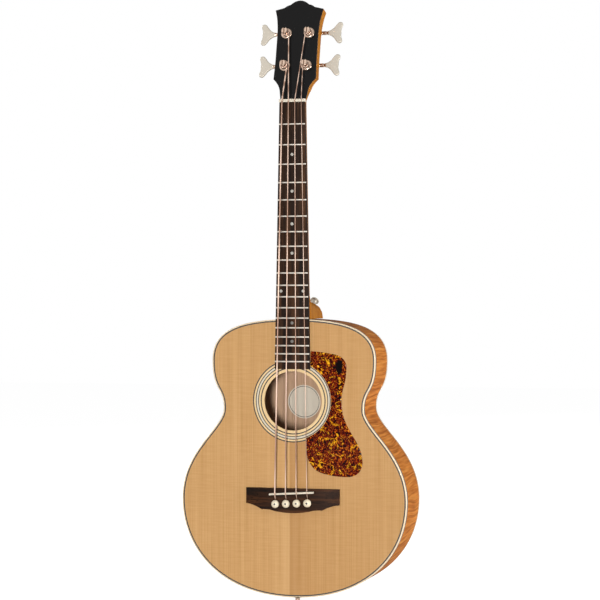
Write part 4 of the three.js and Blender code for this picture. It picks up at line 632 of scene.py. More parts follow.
# %% [markdown]
# The edge of the body is bound with ivory celluloid. A dark strip of purfling runs inside it, and another
# dark line lies beside it on the sides. The binding protects the end grain of the top, and its outer
# corner is scraped round. A curve with a square section could sweep each strip, but the strips have to
# meet without a gap. Four lines of points, bridged, put each face just where the next piece starts. The
# scraped corner is marked before the halves are joined, so that the bevel finds it again.

# %% Binding and purfling
BACK_INSET, BACK_BINDING_HEIGHT = 2.2, 6.6
MAPLE_START = 7.5
SCRAPED_RADIUS = 0.9


def round_edges(bm, edges, width, segments=3):
    """A bevel with the settings that the editor uses."""
    bmesh.ops.bevel(bm, geom=edges, offset=width, offset_type="OFFSET", affect="EDGES", segments=segments,
                    profile=0.5, material=-1, clamp_overlap=True)


def edge_strip(insets, front, back, corner=None):
    """A strip round the whole outline between two insets; one corner of its section may be scraped."""
    bm = bmesh.new()
    mark = bm.verts.layers.int.new("corner")
    outer, inner = insets
    rows = skin(bm, [half_line(outer, front), half_line(outer, back), half_line(inner, back),
                     half_line(inner, front)], round_again=True)
    if corner is not None:
        for vert in rows[corner][0]:
            vert[mark] = 1
    both_sides(bm)
    scraped = [edge for edge in bm.edges if all(vert[mark] for vert in edge.verts)]
    if scraped:
        round_edges(bm, scraped, SCRAPED_RADIUS)
    return bm


add_piece("ivory_top_binding", edge_strip((0, BINDING_WIDTH), 0, TOP_THICKNESS, 0), GUITAR, [ivory],
          "guitar", ["binding_top"])
add_piece("side_line_front", edge_strip((0, BACK_INSET), TOP_THICKNESS, MAPLE_START), GUITAR, [dark_line],
          "guitar")
add_piece("ivory_back_binding", edge_strip((0, BACK_INSET), above_back(BACK_BINDING_HEIGHT), rim_depth, 1),
          GUITAR, [ivory], "guitar", ["binding_back"])
add_piece("dark_purfling", edge_strip((BINDING_WIDTH, PURFLING_INSET), -0.01, INLAY_DEPTH), GUITAR,
          [dark_line], "guitar", ["purfling_top"])

# %% [markdown]
# Each side is one strip of maple, bent on a hot iron, with linings glued inside along both edges to
# widen the glue seams. A plane with a Solidify modifier could make it, but not the slanted linings. Ten
# lines of points run along the outline, one for each corner of the section, and are bridged into a
# solid. The UV map is filled from two numbers kept on every vertex: how far along the rim, and how deep.

# %% Sides
# Each corner of the section: its inset, whether its depth is counted from the back edge, and the depth.
SIDE_SECTION = [
    (0, False, MAPLE_START), (0, True, MAPLE_START), (2.2, True, MAPLE_START), (2.2, True, 3.2),
    (8.4, True, 3.2), (2.4, True, 17), (2.4, False, 17), (8.4, False, 2.9), (2.2, False, 2.9),
    (2.2, False, MAPLE_START),
]


def make_side(name, side, node_name):
    bm = bmesh.new()
    uv = bm.loops.layers.uv.new("along and across")
    lines = [half_line(inset, above_back(depth) if from_back else depth, side)
             for inset, from_back, depth in SIDE_SECTION]
    rows = skin(bm, lines, round_again=True)
    bmesh.ops.holes_fill(bm, edges=bm.edges, sides=len(SIDE_SECTION))
    measures = {}
    for verts, edges in rows:
        for vert, length in zip(verts, RIM_LENGTHS):
            measures[vert] = (length * MM, vert.co.y * MM)
    outer = set(rows[0][0]) | set(rows[1][0])
    for face in bm.faces:
        face.material_index = 0 if all(vert in outer for vert in face.verts) else 1
        for loop in face.loops:
            loop[uv].uv = measures[loop.vert]
    add_piece(name, bm, GUITAR, [flamed_maple, bare_maple], "guitar", [node_name])


make_side("maple_side_treble", 1, "rim_treble_side")
make_side("maple_side_bass", -1, "rim_bass_side")
add_piece("side_line_back", edge_strip((0, 2.1), above_back(MAPLE_START), above_back(BACK_BINDING_HEIGHT)),
          GUITAR, [dark_line], "guitar")

# %% [markdown]
# The back is pressed from maple plies to an arch, so it needs no braces. A subdivided plate could be
# pushed up into the arch, but its edge would not keep to the outline. Rings of the outline shrink
# towards the middle while they rise, and the same rings in reverse, set in by the thickness, make the
# inner face.

# %% Back
ARCH, BACK_THICKNESS = 14, 3
BACK_MIDDLE = Vector((0, BODY_TOP - BODY_LENGTH / 2))
BACK_SHARES = [0.04, 0.14, 0.26, 0.38, 0.5, 0.61, 0.71, 0.8, 0.88, 0.95, 1.0]


def back_line(share, offset):
    """The outline shrunk to a share of its size and raised to the arch, less an offset."""
    line = []
    for x, y, z in half_line(BACK_INSET, 0):
        place = BACK_MIDDLE.lerp(Vector((x, z)), share)
        line.append(Vector((place.x, rim_depth(place.y) + ARCH * (1 - share ** 2) - offset, place.y)))
    return line


bm = bmesh.new()
bare = bm.verts.layers.int.new("bare")
outside = [back_line(share, 0) for share in BACK_SHARES]
inside = [back_line(share, BACK_THICKNESS) for share in reversed(BACK_SHARES)]
rows = skin(bm, outside + inside)
for verts, edges in rows[len(outside):]:
    for vert in verts:
        vert[bare] = 1
both_sides(bm)
bmesh.ops.holes_fill(bm, edges=bm.edges, sides=0)
uv = bm.loops.layers.uv.new("along and across")
for face in bm.faces:
    face.material_index = 1 if any(vert[bare] for vert in face.verts) else 0
    for loop in face.loops:
        loop[uv].uv = (abs(loop.vert.co.z) * MM, abs(loop.vert.co.x) * MM)
add_piece("arched_maple_back", bm, GUITAR, [flamed_maple, bare_maple], "guitar", ["back_plate"])

# %% [markdown]
# A round paper label is glued to the inside of the back, where it is seen through the soundhole. It is
# blank but for a thin border. The border could be a ring of its own, but on paper it is printed, so it
# is a ring of faces in the label's one mesh with a darker finish.

# %% Label
LABEL_RADIUS, LABEL_THICKNESS = 27, 0.25
LABEL_X, LABEL_DROP, LABEL_CLEARANCE = -8.5, 6, 0.4
BORDER_FROM, BORDER_TO = 0.9, 0.93
HOLE_SHARE = 0.417
BACK_SLOPE = 0.095
bm = bmesh.new()
turned(bm, [(0, 0), (LABEL_RADIUS * BORDER_FROM, 0), (LABEL_RADIUS * BORDER_TO, 0), (LABEL_RADIUS, 0),
            (LABEL_RADIUS, LABEL_THICKNESS), (0, LABEL_THICKNESS)], 64)
for face in bm.faces:
    reach = face.calc_center_median().xz.length / LABEL_RADIUS
    face.material_index = 1 if BORDER_FROM < reach < BORDER_TO else 0
back_at_hole = rim_depth(HOLE) + ARCH * (1 - HOLE_SHARE ** 2) - BACK_THICKNESS
label_place = GUITAR @ Matrix.Translation((LABEL_X, back_at_hole - LABEL_CLEARANCE, HOLE - LABEL_DROP))
label_place = label_place @ Matrix.Rotation(BACK_SLOPE, 4, "X")
add_piece("paper_label", bm, label_place, [paper, dark_line], "guitar")

# %% [markdown]
# The pickguard is a thin polished sheet whose edge follows the soundhole on one side and the fingerboard on
# another. It is sawn to a free curve, so its outline is a run of quadratic curves, each with one handle,
# which are easy to fit. Blender's function draws cubic ones, so each is raised by a degree. One face is made
# from the outline, extruded, and its front edge rounded as the sheet's is.

# %% Pickguard outline
NUT_WIDTH, BOARD_END_WIDTH = 41.2, 56.3
BOARD_END = -(fret_distance(19) + 11.8)
GUARD_ARC, GUARD_FOOT_X, GUARD_ARC_STEPS = 61, 21, 32
# Handle and end of each curve: mm to the treble side, and mm below the top of the body.
GUARD_EDGE = [
    ((46, 50.5), (63.6, 53.7)), ((85.6, 57.5), (85.4, 76)), ((85.2, 92), (80, 106.9)),
    ((74.8, 127), (80, 148.2)), ((83.5, 162), (100.6, 188.3)), ((111.5, 208), (110.7, 221.5)),
    ((108.5, 243.3), (85, 243.3)), ((55, 243), (38, 234.5)), ((20, 222), (20.8, 192.4)),
    ((20.8, 188), (GUARD_FOOT_X, 184.1)),
]


def board_half_width(z):
    """Half the fingerboard's width at a height."""
    return (NUT_WIDTH + (BOARD_END_WIDTH - NUT_WIDTH) * z / BOARD_END) / 2


def quadratic(start, control, end, steps=10):
    """Points of a quadratic curve after its start."""
    start, control, end = Vector(start), Vector(control), Vector(end)
    handles = (start.lerp(control, 2 / 3), end.lerp(control, 2 / 3))
    return geometry.interpolate_bezier(start, *handles, end, steps)[1:]


guard_x = board_half_width(BOARD_END) + 0.3
points = [Vector((guard_x, 49.6))]
for control, end in GUARD_EDGE:
    points += quadratic(points[-1], control, end)
points = [Vector((x, BODY_TOP - drop)) for x, drop in points]
arc_from = math.pi - math.asin(GUARD_FOOT_X / GUARD_ARC)
arc_to = math.asin(guard_x / GUARD_ARC)
for k in range(1, GUARD_ARC_STEPS + 1):
    angle = arc_from + (arc_to - arc_from) * k / GUARD_ARC_STEPS
    points.append(Vector((GUARD_ARC * math.sin(angle), HOLE + GUARD_ARC * math.cos(angle))))
print("pickguard outline:", len(points), "points")

# %% Pickguard
GUARD_THICKNESS = 1.5


def plate(bm, outline, depth, thickness):
    """A closed outline filled at a depth and extruded to the front; returns the front face."""
    verts, edges = add_line(bm, [(x, depth, z) for x, z in outline], True)
    face = bmesh.ops.contextual_create(bm, geom=edges)["faces"][0]
    grown = bmesh.ops.extrude_face_region(bm, geom=[face])["geom"]
    front = [part for part in grown if isinstance(part, bmesh.types.BMFace)][0]
    bmesh.ops.translate(bm, verts=front.verts, vec=(0, -thickness, 0))
    return front


bm = bmesh.new()
front = plate(bm, points, 0.0, GUARD_THICKNESS)
round_edges(bm, list(front.edges), 0.45, 2)
broad = [face for face in bm.faces if face.calc_area() > 1000]
bmesh.ops.inset_region(bm, faces=broad, thickness=0.4, use_even_offset=True)
add_piece("tortoiseshell_guard", bm, GUITAR, [tortoiseshell], "guitar", ["pickguard"])

# %% [markdown]
# The bridge, saddle, nut, neck and headstock face are carved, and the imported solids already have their
# form. They could be drawn again, but it would be the same work twice. A merged copy of each gets a
# narrow bevel instead, because a real edge is never knife-sharp, and so it shows a thin line of light.

# %% Pieces with softened edges
def from_cad(node):
    """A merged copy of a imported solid, its flat faces whole again."""
    bm = bmesh.new()
    bm.from_mesh(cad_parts[node].data)
    bmesh.ops.remove_doubles(bm, verts=bm.verts, dist=2e-6)
    bmesh.ops.dissolve_limit(bm, angle_limit=math.radians(0.6), verts=bm.verts, edges=bm.edges)
    return bm


def soften(piece, width):
    """A narrow bevel on the sharp edges, where a real edge is worn and catches the light."""
    bevel = piece.modifiers.new("worn edges", "BEVEL")
    bevel.width = width * MM
    bevel.segments = 2
    bevel.limit_method = "ANGLE"
    bevel.angle_limit = math.radians(30)
    bevel.harden_normals = True


SOFTENED = [
    ("rosewood_bridge", "bridge", bridge_rosewood, "rosewood", 0.5),
    ("bone_saddle", "saddle", bone, "bone", 0.3),
    ("bone_nut", "nut", bone, "bone", 0.3),
    ("amber_neck", "neck", neck_wood, "mahogany", 0.4),
    ("headstock_face", "headstock_veneer", black_gloss, "black_veneer", 0.3),
]
for name, node_name, finish, slot_name, width in SOFTENED:
    piece = add_piece(name, from_cad(node_name), IN_PLACE, [finish], "guitar", [node_name],
                      turn_outward=False)
    soften(piece, width)

# %% [markdown]
# The fingerboard is a plank whose face is part of a cylinder of 400 mm radius, so it is easier to press
# strings on. A wide cylinder could be cut to shape, but two sections bridged together are simpler: the
# board is straight from the nut to its end.

# %% Fingerboard
BOARD_RADIUS, BOARD_THICKNESS = 400, 6


def crown(x, height=0.0):
    """Depth of the rounded face at a distance from the middle, or of something that stands on it."""
    return -(BOARD_THICKNESS + height - (BOARD_RADIUS - math.sqrt(BOARD_RADIUS ** 2 - x ** 2)))


bm = bmesh.new()
sections = []
for z in (0, BOARD_END):
    half = board_half_width(z)
    face_line = [Vector((half * k / 8, crown(half * k / 8), z)) for k in range(-8, 9)]
    sections.append([Vector((half, 0, z)), Vector((-half, 0, z))] + face_line)
skin(bm, sections, closed=True)
bmesh.ops.holes_fill(bm, edges=bm.edges, sides=0)
board = add_piece("rosewood_fingerboard", bm, GUITAR, [board_rosewood], "guitar", ["fingerboard"])
soften(board, 0.35)

# %% [markdown]
# Nineteen frets of nickel silver wire are hammered into slots across the board. Each could be a bent
# tube, but fret wire has a low mushroom crown. Its section, seven points from edge to edge, is laid
# along the rounded face, with the lowest points just inside the wood.

# %% Frets
FRETS, FRET_INSET = 19, 0.2
# Across the wire, and up from the board.
FRET_CROWN = [(-1.3, -0.3), (-1.2, 0.45), (-0.7, 1.0), (0, 1.2), (0.7, 1.0), (1.2, 0.45), (1.3, -0.3)]
bm = bmesh.new()
for number in range(1, FRETS + 1):
    z = -fret_distance(number)
    half = board_half_width(z) - FRET_INSET
    lines = []
    for across, height in FRET_CROWN:
        lines.append([Vector((half * k / 6, crown(half * k / 6, height), z + across)) for k in range(-6, 7)])
    skin(bm, lines)
bmesh.ops.holes_fill(bm, edges=bm.edges, sides=0)
add_piece("fret_wires", bm, GUITAR, [fret_nickel], "guitar")
print("first and last fret, mm from the nut:", round(fret_distance(1), 1), round(fret_distance(FRETS), 1))

# %% [markdown]
# Pearl dots mark the places between the frets, one each and two at the octave. They are let into the
# wood and sanded flush. A texture could paint them, but a real dot has an edge, so each is a short
# cylinder whose face stands a hair above the wood.

# %% Position dots
DOT_RADIUS, DOT_HEIGHT, OCTAVE = 2.4, 0.3, 12
# The fret above each dot, and its distance from the middle.
DOTS = [(3, 0), (5, 0), (7, 0), (9, 0), (OCTAVE, -17.8), (OCTAVE, 17.8), (15, 0), (17, 0)]
bm = bmesh.new()
for number, x in DOTS:
    z = -(fret_distance(number - 1) + fret_distance(number)) / 2
    spot = Matrix.Translation((x, crown(x) - 0.02, z)) @ Matrix.Rotation(math.pi / 2, 4, "X")
    before = set(bm.faces)
    bmesh.ops.create_cone(bm, cap_ends=True, segments=24, radius1=DOT_RADIUS, radius2=DOT_RADIUS,
                          depth=DOT_HEIGHT, matrix=spot)
    for face in set(bm.faces) - before:
        # Past the octave the dots take the darker pearl, a painted shade.
        face.material_index = int(number > OCTAVE)
add_piece("pearl_dots", bm, GUITAR, [grey_pearl, pearl_with_painted_shade], "guitar")

# %% [markdown]
# Bridge pins are turned from ivory plastic with a dark dot let into the head. They could be cones with
# a ball on top, but the eye knows the real shape: a flat head, a round shoulder and a tapered shaft. A
# profile spun on a lathe gives it. Each pin moves with its own body, because it pulls straight out.

# %% Bridge pins
STRINGS = "eadg"
SADDLE = -(SCALE_LENGTH + 2.7)
PIN_SPREAD, PIN_SETBACK, PIN_SLANT = 51.2, 15.7, 2.4
PIN_DOT_RADIUS = 1.5
PIN_PROFILE = [
    (0, -15.1), (PIN_DOT_RADIUS, -15.1), (PIN_DOT_RADIUS, -15.5), (2.6, -15.3), (4.1, -14.6), (5.3, -13.5),
    (6.0, -12.4), (6.2, -11.6), (6.2, -11.1), (5.8, -10.6), (4, -10.6), (3.95, 0), (3.1, 14), (2.2, 15.2),
    (0, 15.3),
]


def spread(number, width):
    """Place of a string across a width, from the bass side to the treble side, zero in the middle."""
    return (number / 3 - 0.5) * width


def pin_z(x):
    """Height of a pin: the row of pins slants a little, as the saddle does."""
    return SADDLE - PIN_SETBACK + x * PIN_SLANT / PIN_SPREAD


for number, letter in enumerate(STRINGS):
    x = spread(number, PIN_SPREAD)
    bm = bmesh.new()
    turned(bm, PIN_PROFILE, 36)
    for face in bm.faces:
        middle = face.calc_center_median()
        face.material_index = 1 if middle.xz.length < PIN_DOT_RADIUS and middle.y < 0 else 0
    place = GUITAR @ Matrix.Translation((x, 0, pin_z(x)))
    add_piece("pin_" + letter, bm, place, [pin_plastic, black_dot], "pin_" + letter,
              ["bridge_pin_" + letter])

# %% [markdown]
# A string runs from its ball end under the bridge plate, up past the pin, over the saddle and the nut,
# and winds a turn and a quarter round the waist of its post. A simulation could lay it, but a string
# under tension is straight between its supports, so its route is points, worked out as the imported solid's
# are. The first cell has the places, the next one the turns round the post, the third one the rest.

# %% Places along a string
DIAMETERS = [2.4, 1.896, 1.5, 1.104]
# Each post: its side of the headstock, its distance from the middle, and how far up the headstock it is.
POSTS = [(-1, 17.3, 55.8), (-1, 18.3, 109.8), (1, 18.3, 109.8), (1, 17.3, 55.8)]
NUT_SPREAD, NUT_MIDDLE, NUT_RISE = 30.5, 2.5, 1.2
BRIDGE_HEIGHT, SADDLE_RISE, SADDLE_SLANT, SADDLE_LENGTH = 9, 3.5, 4.2, 71.4
POST_WAIST, WAIST_LEVEL, STRING_GAP = 3.6, 4.0, 0.3
TURNS, TURN_STEPS, TURN_GAP = 1.25, 36, 0.55


def saddle_z(x):
    """Height of the saddle, which slants so that thicker strings are longer."""
    return SADDLE + x * SADDLE_SLANT / SADDLE_LENGTH


def head_point(x, depth, along):
    """A point of the headstock's drawing, in the guitar's drawing."""
    return Vector((x, depth * math.cos(TILT) + along * math.sin(TILT),
                   NUT_BACK + along * math.cos(TILT) - depth * math.sin(TILT)))


# %% Turns round the post
def post_turns(number, nut_x):
    """The string's middle line round the waist of its post, from where it first touches."""
    side, out, along = POSTS[number]
    centre, turn_way = side * out, -side
    radius = DIAMETERS[number] / 2
    wind = POST_WAIST + STRING_GAP + radius
    level = WAIST_LEVEL + radius
    pitch = DIAMETERS[number] + TURN_GAP
    reach_x, reach_z = nut_x - centre, -NUT_MIDDLE - along
    start = math.atan2(reach_z, reach_x) + turn_way * math.acos(wind / math.hypot(reach_x, reach_z))
    line = []
    for k in range(round(TURNS * TURN_STEPS) + 5):
        turn = k / TURN_STEPS
        angle = start + turn_way * 2 * math.pi * turn
        line.append(head_point(centre + wind * math.cos(angle), -level - pitch * turn,
                               along + wind * math.sin(angle)))
    return line


# %% Route of a string
def string_route(number):
    """The string's middle line from the ball to the end of its turns, and the place of the ball."""
    radius = DIAMETERS[number] / 2
    bridge_x, nut_x = spread(number, PIN_SPREAD), spread(number, NUT_SPREAD)
    winding = post_turns(number, nut_x)
    hole_z = pin_z(bridge_x) + 4.4
    saddle = Vector((bridge_x, -(BRIDGE_HEIGHT + SADDLE_RISE + 0.3 + radius), saddle_z(bridge_x)))
    nut = Vector((nut_x, -(BOARD_THICKNESS + NUT_RISE + 0.6 + radius), NUT_MIDDLE))
    ball = Vector((bridge_x, 5.6, hole_z))
    crest = Vector((bridge_x, radius - BRIDGE_HEIGHT, hole_z))
    rise = (crest - ball).normalized()
    run = (saddle - crest).normalized()
    bend = [crest - rise * 2.4, crest - rise * 1.1 + run * 0.35, crest - rise * 0.35 + run * 1.1,
            crest + run * 2.4]
    over = [saddle - run * 1.5, saddle + (nut - saddle).normalized() * 1.5]
    cross = [nut + (saddle - nut).normalized() * 1.2, nut + (winding[0] - nut).normalized() * 1.2]
    return [ball + Vector((0, -0.2, 0))] + bend + over + cross + winding, ball


# %% [markdown]
# The string itself is a tube through its route. Circles could be bridged along it, but a curve with a
# round bevel turns them in every bend by itself. The winding's ridges follow the tube by its UV map,
# which counts metres along the string, and a small cylinder is the ball.

# %% Tube through a route
def tube_mesh(points, radius):
    """A round tube through the points, closed at its ends, from a curve with a bevel."""
    curve = bpy.data.curves.new("route", "CURVE")
    curve.dimensions = "3D"
    curve.bevel_depth = radius
    curve.bevel_resolution = 3
    curve.use_fill_caps = True
    spline = curve.splines.new("POLY")
    spline.points.add(len(points) - 1)
    for point, place in zip(spline.points, points):
        point.co = (*place, 1)
    holder = bpy.data.objects.new("route", curve)
    mesh = bpy.data.meshes.new_from_object(holder)
    bpy.data.objects.remove(holder)
    bpy.data.curves.remove(curve)
    bm = bmesh.new()
    bm.from_mesh(mesh)
    bpy.data.meshes.remove(mesh)
    bmesh.ops.remove_doubles(bm, verts=bm.verts, dist=1e-4)
    return bm


# %% Strings
BALL_RADIUS, BALL_LENGTH = 2.3, 4


def nearest_length(place, points, lengths):
    """The length along the route at the point nearest to a place."""
    best = min(range(len(points)), key=lambda i: (points[i] - place).length_squared)
    return lengths[best]


for number, letter in enumerate(STRINGS):
    points, ball = string_route(number)
    bm = tube_mesh(points, DIAMETERS[number] / 2)
    lengths = [0.0]
    for here, there in zip(points, points[1:]):
        lengths.append(lengths[-1] + (there - here).length)
    uv = bm.loops.layers.uv.new("length")
    found = {vert: nearest_length(vert.co, points, lengths) * MM for vert in bm.verts}
    for face in bm.faces:
        for loop in face.loops:
            loop[uv].uv = (found[loop.vert], 0.0)
    ball_place = Matrix.Translation(ball + Vector((0, 2, 0))) @ Matrix.Rotation(math.pi / 2, 4, "X")
    bmesh.ops.create_cone(bm, cap_ends=True, segments=20, radius1=BALL_RADIUS, radius2=BALL_RADIUS,
                          depth=BALL_LENGTH, matrix=ball_place)
    add_piece("wound_string_" + letter, bm, GUITAR, [bronze], "guitar",
              ["string_" + letter])
    print("string", letter, "is", round(lengths[-1]), "mm along its middle line")

# %% [markdown]
# A tuning machine is a turned bushing and a slotted post in front, and behind the headstock a gear on
# the post, a worm on the key's shaft, and a plate with two lugs that carries them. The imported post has
# the right size but flat sides where it should be round, so the turned parts that show are spun afresh.
# The slot could be cut with a boolean. Slicing one prong and mirroring it leaves the same slot.

# %% Bushing and post
BUSHING = [
    (5.25, 10), (5.25, -2.0), (5.6, -2.4), (6.6, -2.4), (7.6, -2.05), (8.5, -1.4), (8.8, -0.8),
    (8.8, -0.3), (6.6, -0.3), (6.6, 10), (5.25, 10),
]
POST = [
    (0, -11.1), (4.6, -11.1), (POST_WAIST, -10.8), (POST_WAIST, -3.9), (4.3, -3.1), (5.0, -2.7),
    (5.0, 21.0), (3.0, 21.0), (3.0, 26.7), (0, 26.7),
]
POST_HEAD = [(0, -10.9), (4.7, -10.9), (5.0, -11.6), (5.0, -14.0), (4.8, -14.4), (4.3, -14.6), (0, -14.6)]
SLOT_HALF_WIDTH = 1.4


def make_bushing_mesh():
    bm = bmesh.new()
    turned(bm, BUSHING)
    return bm


def make_post_mesh():
    """The turned post; its head is sliced beside the middle and the slice mirrored, which leaves the slot."""
    bm = bmesh.new()
    turned(bm, POST)
    prong = bmesh.new()
    turned(prong, POST_HEAD)
    bmesh.ops.bisect_plane(prong, geom=everything(prong), dist=1e-4, plane_co=(SLOT_HALF_WIDTH, 0, 0),
                           plane_no=(1, 0, 0), clear_inner=True)
    bmesh.ops.holes_fill(prong, edges=prong.edges, sides=0)
    bmesh.ops.mirror(prong, geom=everything(prong), matrix=IN_PLACE, merge_dist=0.01, axis="X")
    join(bm, prong)
    return bm


# %% [markdown]
# The key is a cast clover with softly rounded edges on a turned stem. Three balls pressed together could
# stand for the clover, but its outline is what the eye reads. One lobe is drawn as curves and mirrored,
# thickened, and rounded on both faces.

# %% Tuning key
KEY_START, KEY_END, KEY_HIGH, KEY_WAIST = 24.1, 48.3, 17.8, 2.8
KEY_THICKNESS = 4.4
KEY_STEM = [
    (0, 11.2), (3.0, 11.2), (3.2, 11.4), (3.2, 15.6), (2.8, 16.0), (2.8, 16.4), (3.2, 16.8), (3.2, 21.6),
    (2.7, 22.2), (2.7, 23.6), (3.3, 24.6), (3.3, 25.6), (0, 27.5),
]


def paddle_outline():
    """The clover of a tuning key: one lobe as curves, then its mirror image."""
    start, end, high, waist = KEY_START, KEY_END, KEY_HIGH, KEY_WAIST
    long = end - start
    lobe = [
        ((start + long * 0.2, waist * 1.1), (start + long * 0.42, high * 0.48)),
        ((start + long * 0.58, high * 0.8), (start + long * 0.68, high * 0.93)),
        ((start + long * 0.8, high * 1.05), (start + long * 0.94, high * 0.92)),
        ((end, high * 0.8), (start + long * 0.96, high * 0.6)),
        ((start + long * 0.86, high * 0.32), (start + long * 0.9, 0)),
    ]
    points = [Vector((start - 1, waist))]
    for control, place in lobe:
        points += quadratic(points[-1], control, place, 8)
    return points + [Vector((x, -z)) for x, z in points[-2::-1]]


def make_key_mesh():
    bm = bmesh.new()
    plate(bm, paddle_outline(), KEY_THICKNESS / 2, KEY_THICKNESS)
    bmesh.ops.recalc_face_normals(bm, faces=bm.faces)
    flat = [face for face in bm.faces if abs(face.normal.y) > 0.9]
    round_edges(bm, list({edge for face in flat for edge in face.edges}), 1.3, 4)
    flat = [face for face in bm.faces if face.calc_area() > 100]
    bmesh.ops.inset_region(bm, faces=flat, thickness=0.2, use_even_offset=True)
    stem = bmesh.new()
    turned(stem, KEY_STEM, 28)
    bmesh.ops.rotate(stem, cent=(0, 0, 0), matrix=Matrix.Rotation(-math.pi / 2, 3, "Z"), verts=stem.verts)
    join(bm, stem, 1)
    return bm


# %% [markdown]
# Each machine is now put on its post's place. The bass keys point the other way, so their mesh is
# mirrored, and mirroring turns faces inside out, so they are reversed again. Plate and gear keep the
# packed form with worn edges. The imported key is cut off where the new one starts, which leaves the worm.

# %% Tuning machines in place
GEAR_DEPTH, WORM_OFFSET, WORM_END = 23.5, 8.3, 11.3


def make_worm_mesh(node_name, side, out):
    """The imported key's shaft with its worm, without the key itself."""
    bm = from_cad(node_name)
    cut = (HEAD @ Vector((side * (out + WORM_END), 0, 0))).x
    bmesh.ops.bisect_plane(bm, geom=everything(bm), dist=1e-6, plane_co=(cut, 0, 0), plane_no=(side, 0, 0),
                           clear_outer=True)
    bmesh.ops.holes_fill(bm, edges=bm.edges, sides=0)
    return bm


for (side, out, along), letter in zip(POSTS, STRINGS):
    key_body, post_body = "key_" + letter, "post_" + letter
    at_post = HEAD @ Matrix.Translation((side * out, 0, along))
    add_piece("bushing_" + letter, make_bushing_mesh(), at_post, [nickel], "guitar",
              ["tuner_bushing_" + letter])
    add_piece("post_" + letter, make_post_mesh(), at_post, [nickel], post_body,
              ["tuner_post_" + letter])
    bm = make_key_mesh()
    if side < 0:
        bmesh.ops.scale(bm, vec=(-1, 1, 1), verts=bm.verts)
        bmesh.ops.reverse_faces(bm, faces=bm.faces)
    at_key = at_post @ Matrix.Translation((0, GEAR_DEPTH, WORM_OFFSET))
    add_piece("key_" + letter, bm, at_key, [key_nickel, nickel], key_body)
    for part, finish, slot_name, body in (("plate", nickel, "nickel_hardware", "guitar"),
                                          ("gear", brass, "gear_brass", post_body)):
        node_name = f"tuner_{part}_{letter}"
        piece = add_piece(f"{part}_{letter}", from_cad(node_name), IN_PLACE, [finish], body,
                          [node_name], turn_outward=False)
        soften(piece, 0.15)
    node_name = "tuner_key_" + letter
    add_piece("worm_" + letter, make_worm_mesh(node_name, side, out), IN_PLACE, [steel], key_body,
              [node_name], turn_outward=False)

# %% [markdown]
# Two strap buttons, turned from plated brass: one on the shoulder of the heel, one at the tail. One shape
# could serve for both, but the tail's is also the end pin, with a longer shank in the tail block. Each is
# spun from its own profile.

# %% Strap buttons
LEAN = Vector((0.2, 0.72, 0.66)).normalized()
HEEL_SEAT = Vector((10, 86, BODY_TOP + 24.5)) - LEAN * 4.5
TAIL_DEPTH = 28
BUTTON = [
    (0, -9), (2.2, -9), (2.2, 0.3), (5.2, 0.3), (5.4, 0.6), (5.3, 1.4), (4.4, 2.6), (3.8, 4.4), (3.8, 7.6),
    (4.6, 9.0), (6.4, 9.4), (6.9, 9.8), (7.0, 10.6), (6.8, 11.6), (5.8, 12.6), (3.8, 13), (0, 13),
]
END_PIN = [
    (0, 18), (4, 18), (5, 16), (5, -0.3), (6.8, -0.3), (7, -0.7), (7, -2.2), (5.2, -3.2), (3.8, -4.6),
    (3.8, -8.4), (5.6, -9.2), (6.8, -9.6), (7, -10.4), (6.9, -11.8), (5.8, -12.7), (3.8, -13), (0, -13),
]
bm = bmesh.new()
turned(bm, BUTTON, 36)
lean_turn = Vector((0, 1, 0)).rotation_difference(LEAN).to_matrix().to_4x4()
add_piece("strap_button", bm, GUITAR @ Matrix.Translation(HEEL_SEAT) @ lean_turn, [key_nickel], "guitar",
          ["heel_strap_button"])
bm = bmesh.new()
turned(bm, END_PIN, 36)
at_tail = GUITAR @ Matrix.Translation((0, TAIL_DEPTH, BODY_TOP - BODY_LENGTH))
add_piece("tail_pin", bm, at_tail @ Matrix.Rotation(math.pi / 2, 4, "X"), [nickel], "guitar",
          ["end_pin"])

# %% [markdown]
# The studio is a pale floor half a millimetre under the tail pin and a white world. The lamps could make
# both white, but then they would wash out the guitar. The floor and the world glow only for the rays
# that should see a white background: the camera's, and those that gloss, metal and glass send out. The
# other rays find a dim world, so the lamps alone shape the wood.

# %% White background
FLOOR_LEVEL, FLOOR_REACH = -0.8005, 8
FLOOR_GLOW = 0.93
WORLD_LIGHT = 0.1


def background_rays(tree):
    """1 for the rays that see the white background, 0 for the others."""
    rays = tree.nodes.new("ShaderNodeLightPath").outputs
    seen = add_node(tree, "Math", {0: rays["Is Camera Ray"], 1: rays["Is Glossy Ray"]}, operation="MAXIMUM")
    return add_node(tree, "Math", {0: seen, 1: rays["Is Transmission Ray"]}, operation="MAXIMUM")


def make_floor():
    finish, tree, shader = start_finish("pale_floor", "c8c8c8", 0.9, Specular_IOR_Level=0.0)
    glow = add_node(tree, "Math", {0: background_rays(tree), 1: FLOOR_GLOW}, operation="MULTIPLY")
    plug(tree, shader, {"Emission Color": "ffffff", "Emission Strength": glow})
    return finish


bm = bmesh.new()
bmesh.ops.create_grid(bm, x_segments=1, y_segments=1, size=FLOOR_REACH)
bmesh.ops.translate(bm, verts=bm.verts, vec=(0, 0, FLOOR_LEVEL))
floor_mesh = bpy.data.meshes.new("floor")
bm.to_mesh(floor_mesh)
bm.free()
floor_mesh.materials.append(make_floor())
floor = bpy.data.objects.new("floor", floor_mesh)
bpy.context.scene.collection.objects.link(floor)

world = bpy.data.worlds.new("white studio")
bpy.context.scene.world = world
world.use_nodes = True
tree = world.node_tree
strength = add_node(tree, "Math", {0: background_rays(tree), 1: 1 - WORLD_LIGHT, 2: WORLD_LIGHT},
                    operation="MULTIPLY_ADD")
plug(tree, tree.nodes["Background"], {"Color": "ffffff", "Strength": strength})
print("floor at", FLOOR_LEVEL, "m, world light", WORLD_LIGHT)

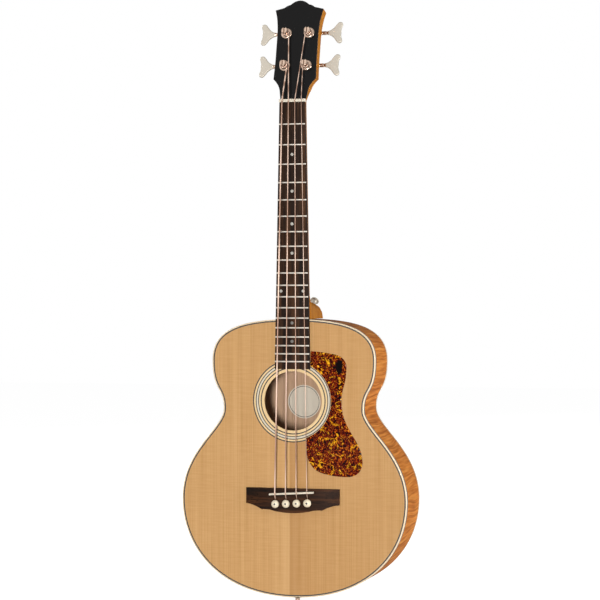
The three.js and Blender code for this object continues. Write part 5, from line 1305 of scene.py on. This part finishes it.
# %% [markdown]
# Five soft boxes light the guitar. One large lamp would be simpler, but it would leave the treble side
# dark. A small strong one in front shows the top at the level at which its colour is written, one at the
# right skims over the sides, one behind lights the back, and two weak ones soften the shadows.

# %% Lamps
BODY_MIDDLE, HEAD_MIDDLE = (0, 0, -0.33), (0, 0, 0.1)


def add_lamp(name, place, size, watts, target=BODY_MIDDLE):
    """A soft box of a width and a height in metres, turned towards its target."""
    lamp = bpy.data.lights.new(name, "AREA")
    lamp.shape = "RECTANGLE"
    lamp.size, lamp.size_y = size
    lamp.energy = watts
    holder = bpy.data.objects.new(name, lamp)
    holder.location = place
    holder.rotation_euler = (Vector(target) - Vector(place)).to_track_quat("-Z", "Y").to_euler()
    bpy.context.scene.collection.objects.link(holder)
    print(f"{name}: {watts} W")


add_lamp("front softbox", (0.56, -4.16, -0.5), (0.42, 0.6), 140)
add_lamp("right softbox", (2.9, -0.25, -0.52), (1.0, 0.54), 58)
add_lamp("left softbox", (-2.6, -1.9, 0.6), (1.0, 1.8), 10)
add_lamp("back softbox", (-2.7, 2.6, 0.9), (1.2, 1.2), 75)
add_lamp("top softbox", (-0.77, -2.3, 1.9), (1.6, 1.6), 8, HEAD_MIDDLE)

# %% [markdown]
# The camera stands 15 degrees to the treble side, level with the middle of the guitar, 3.2 m away. Its
# lens could be tried out by eye. It is worked out instead: at that distance, a pixel of an image 600
# wide has to cover 1.55 mm. The view transform is Standard, so that a colour renders as it is written.

# %% Camera
IMAGE_WIDTH, PIXEL_MM = 600, 1.55
SENSOR_WIDTH = 36
DISTANCE = 3200
ANGLE = math.radians(15)
AIM = Vector((11.2, -8, -325.4)) * MM
camera = bpy.data.cameras.new("camera")
camera.sensor_width = SENSOR_WIDTH
camera.lens = SENSOR_WIDTH * DISTANCE / (IMAGE_WIDTH * PIXEL_MM)
camera.clip_end = 100
eye = bpy.data.objects.new("camera", camera)
bpy.context.scene.collection.objects.link(eye)
eye.location = AIM + Vector((math.sin(ANGLE), -math.cos(ANGLE), 0)) * DISTANCE * MM
eye.rotation_euler = (math.pi / 2, 0, ANGLE)
bpy.context.scene.camera = eye
bpy.context.scene.view_settings.view_transform = "Standard"
print("lens:", round(camera.lens, 1), "mm")
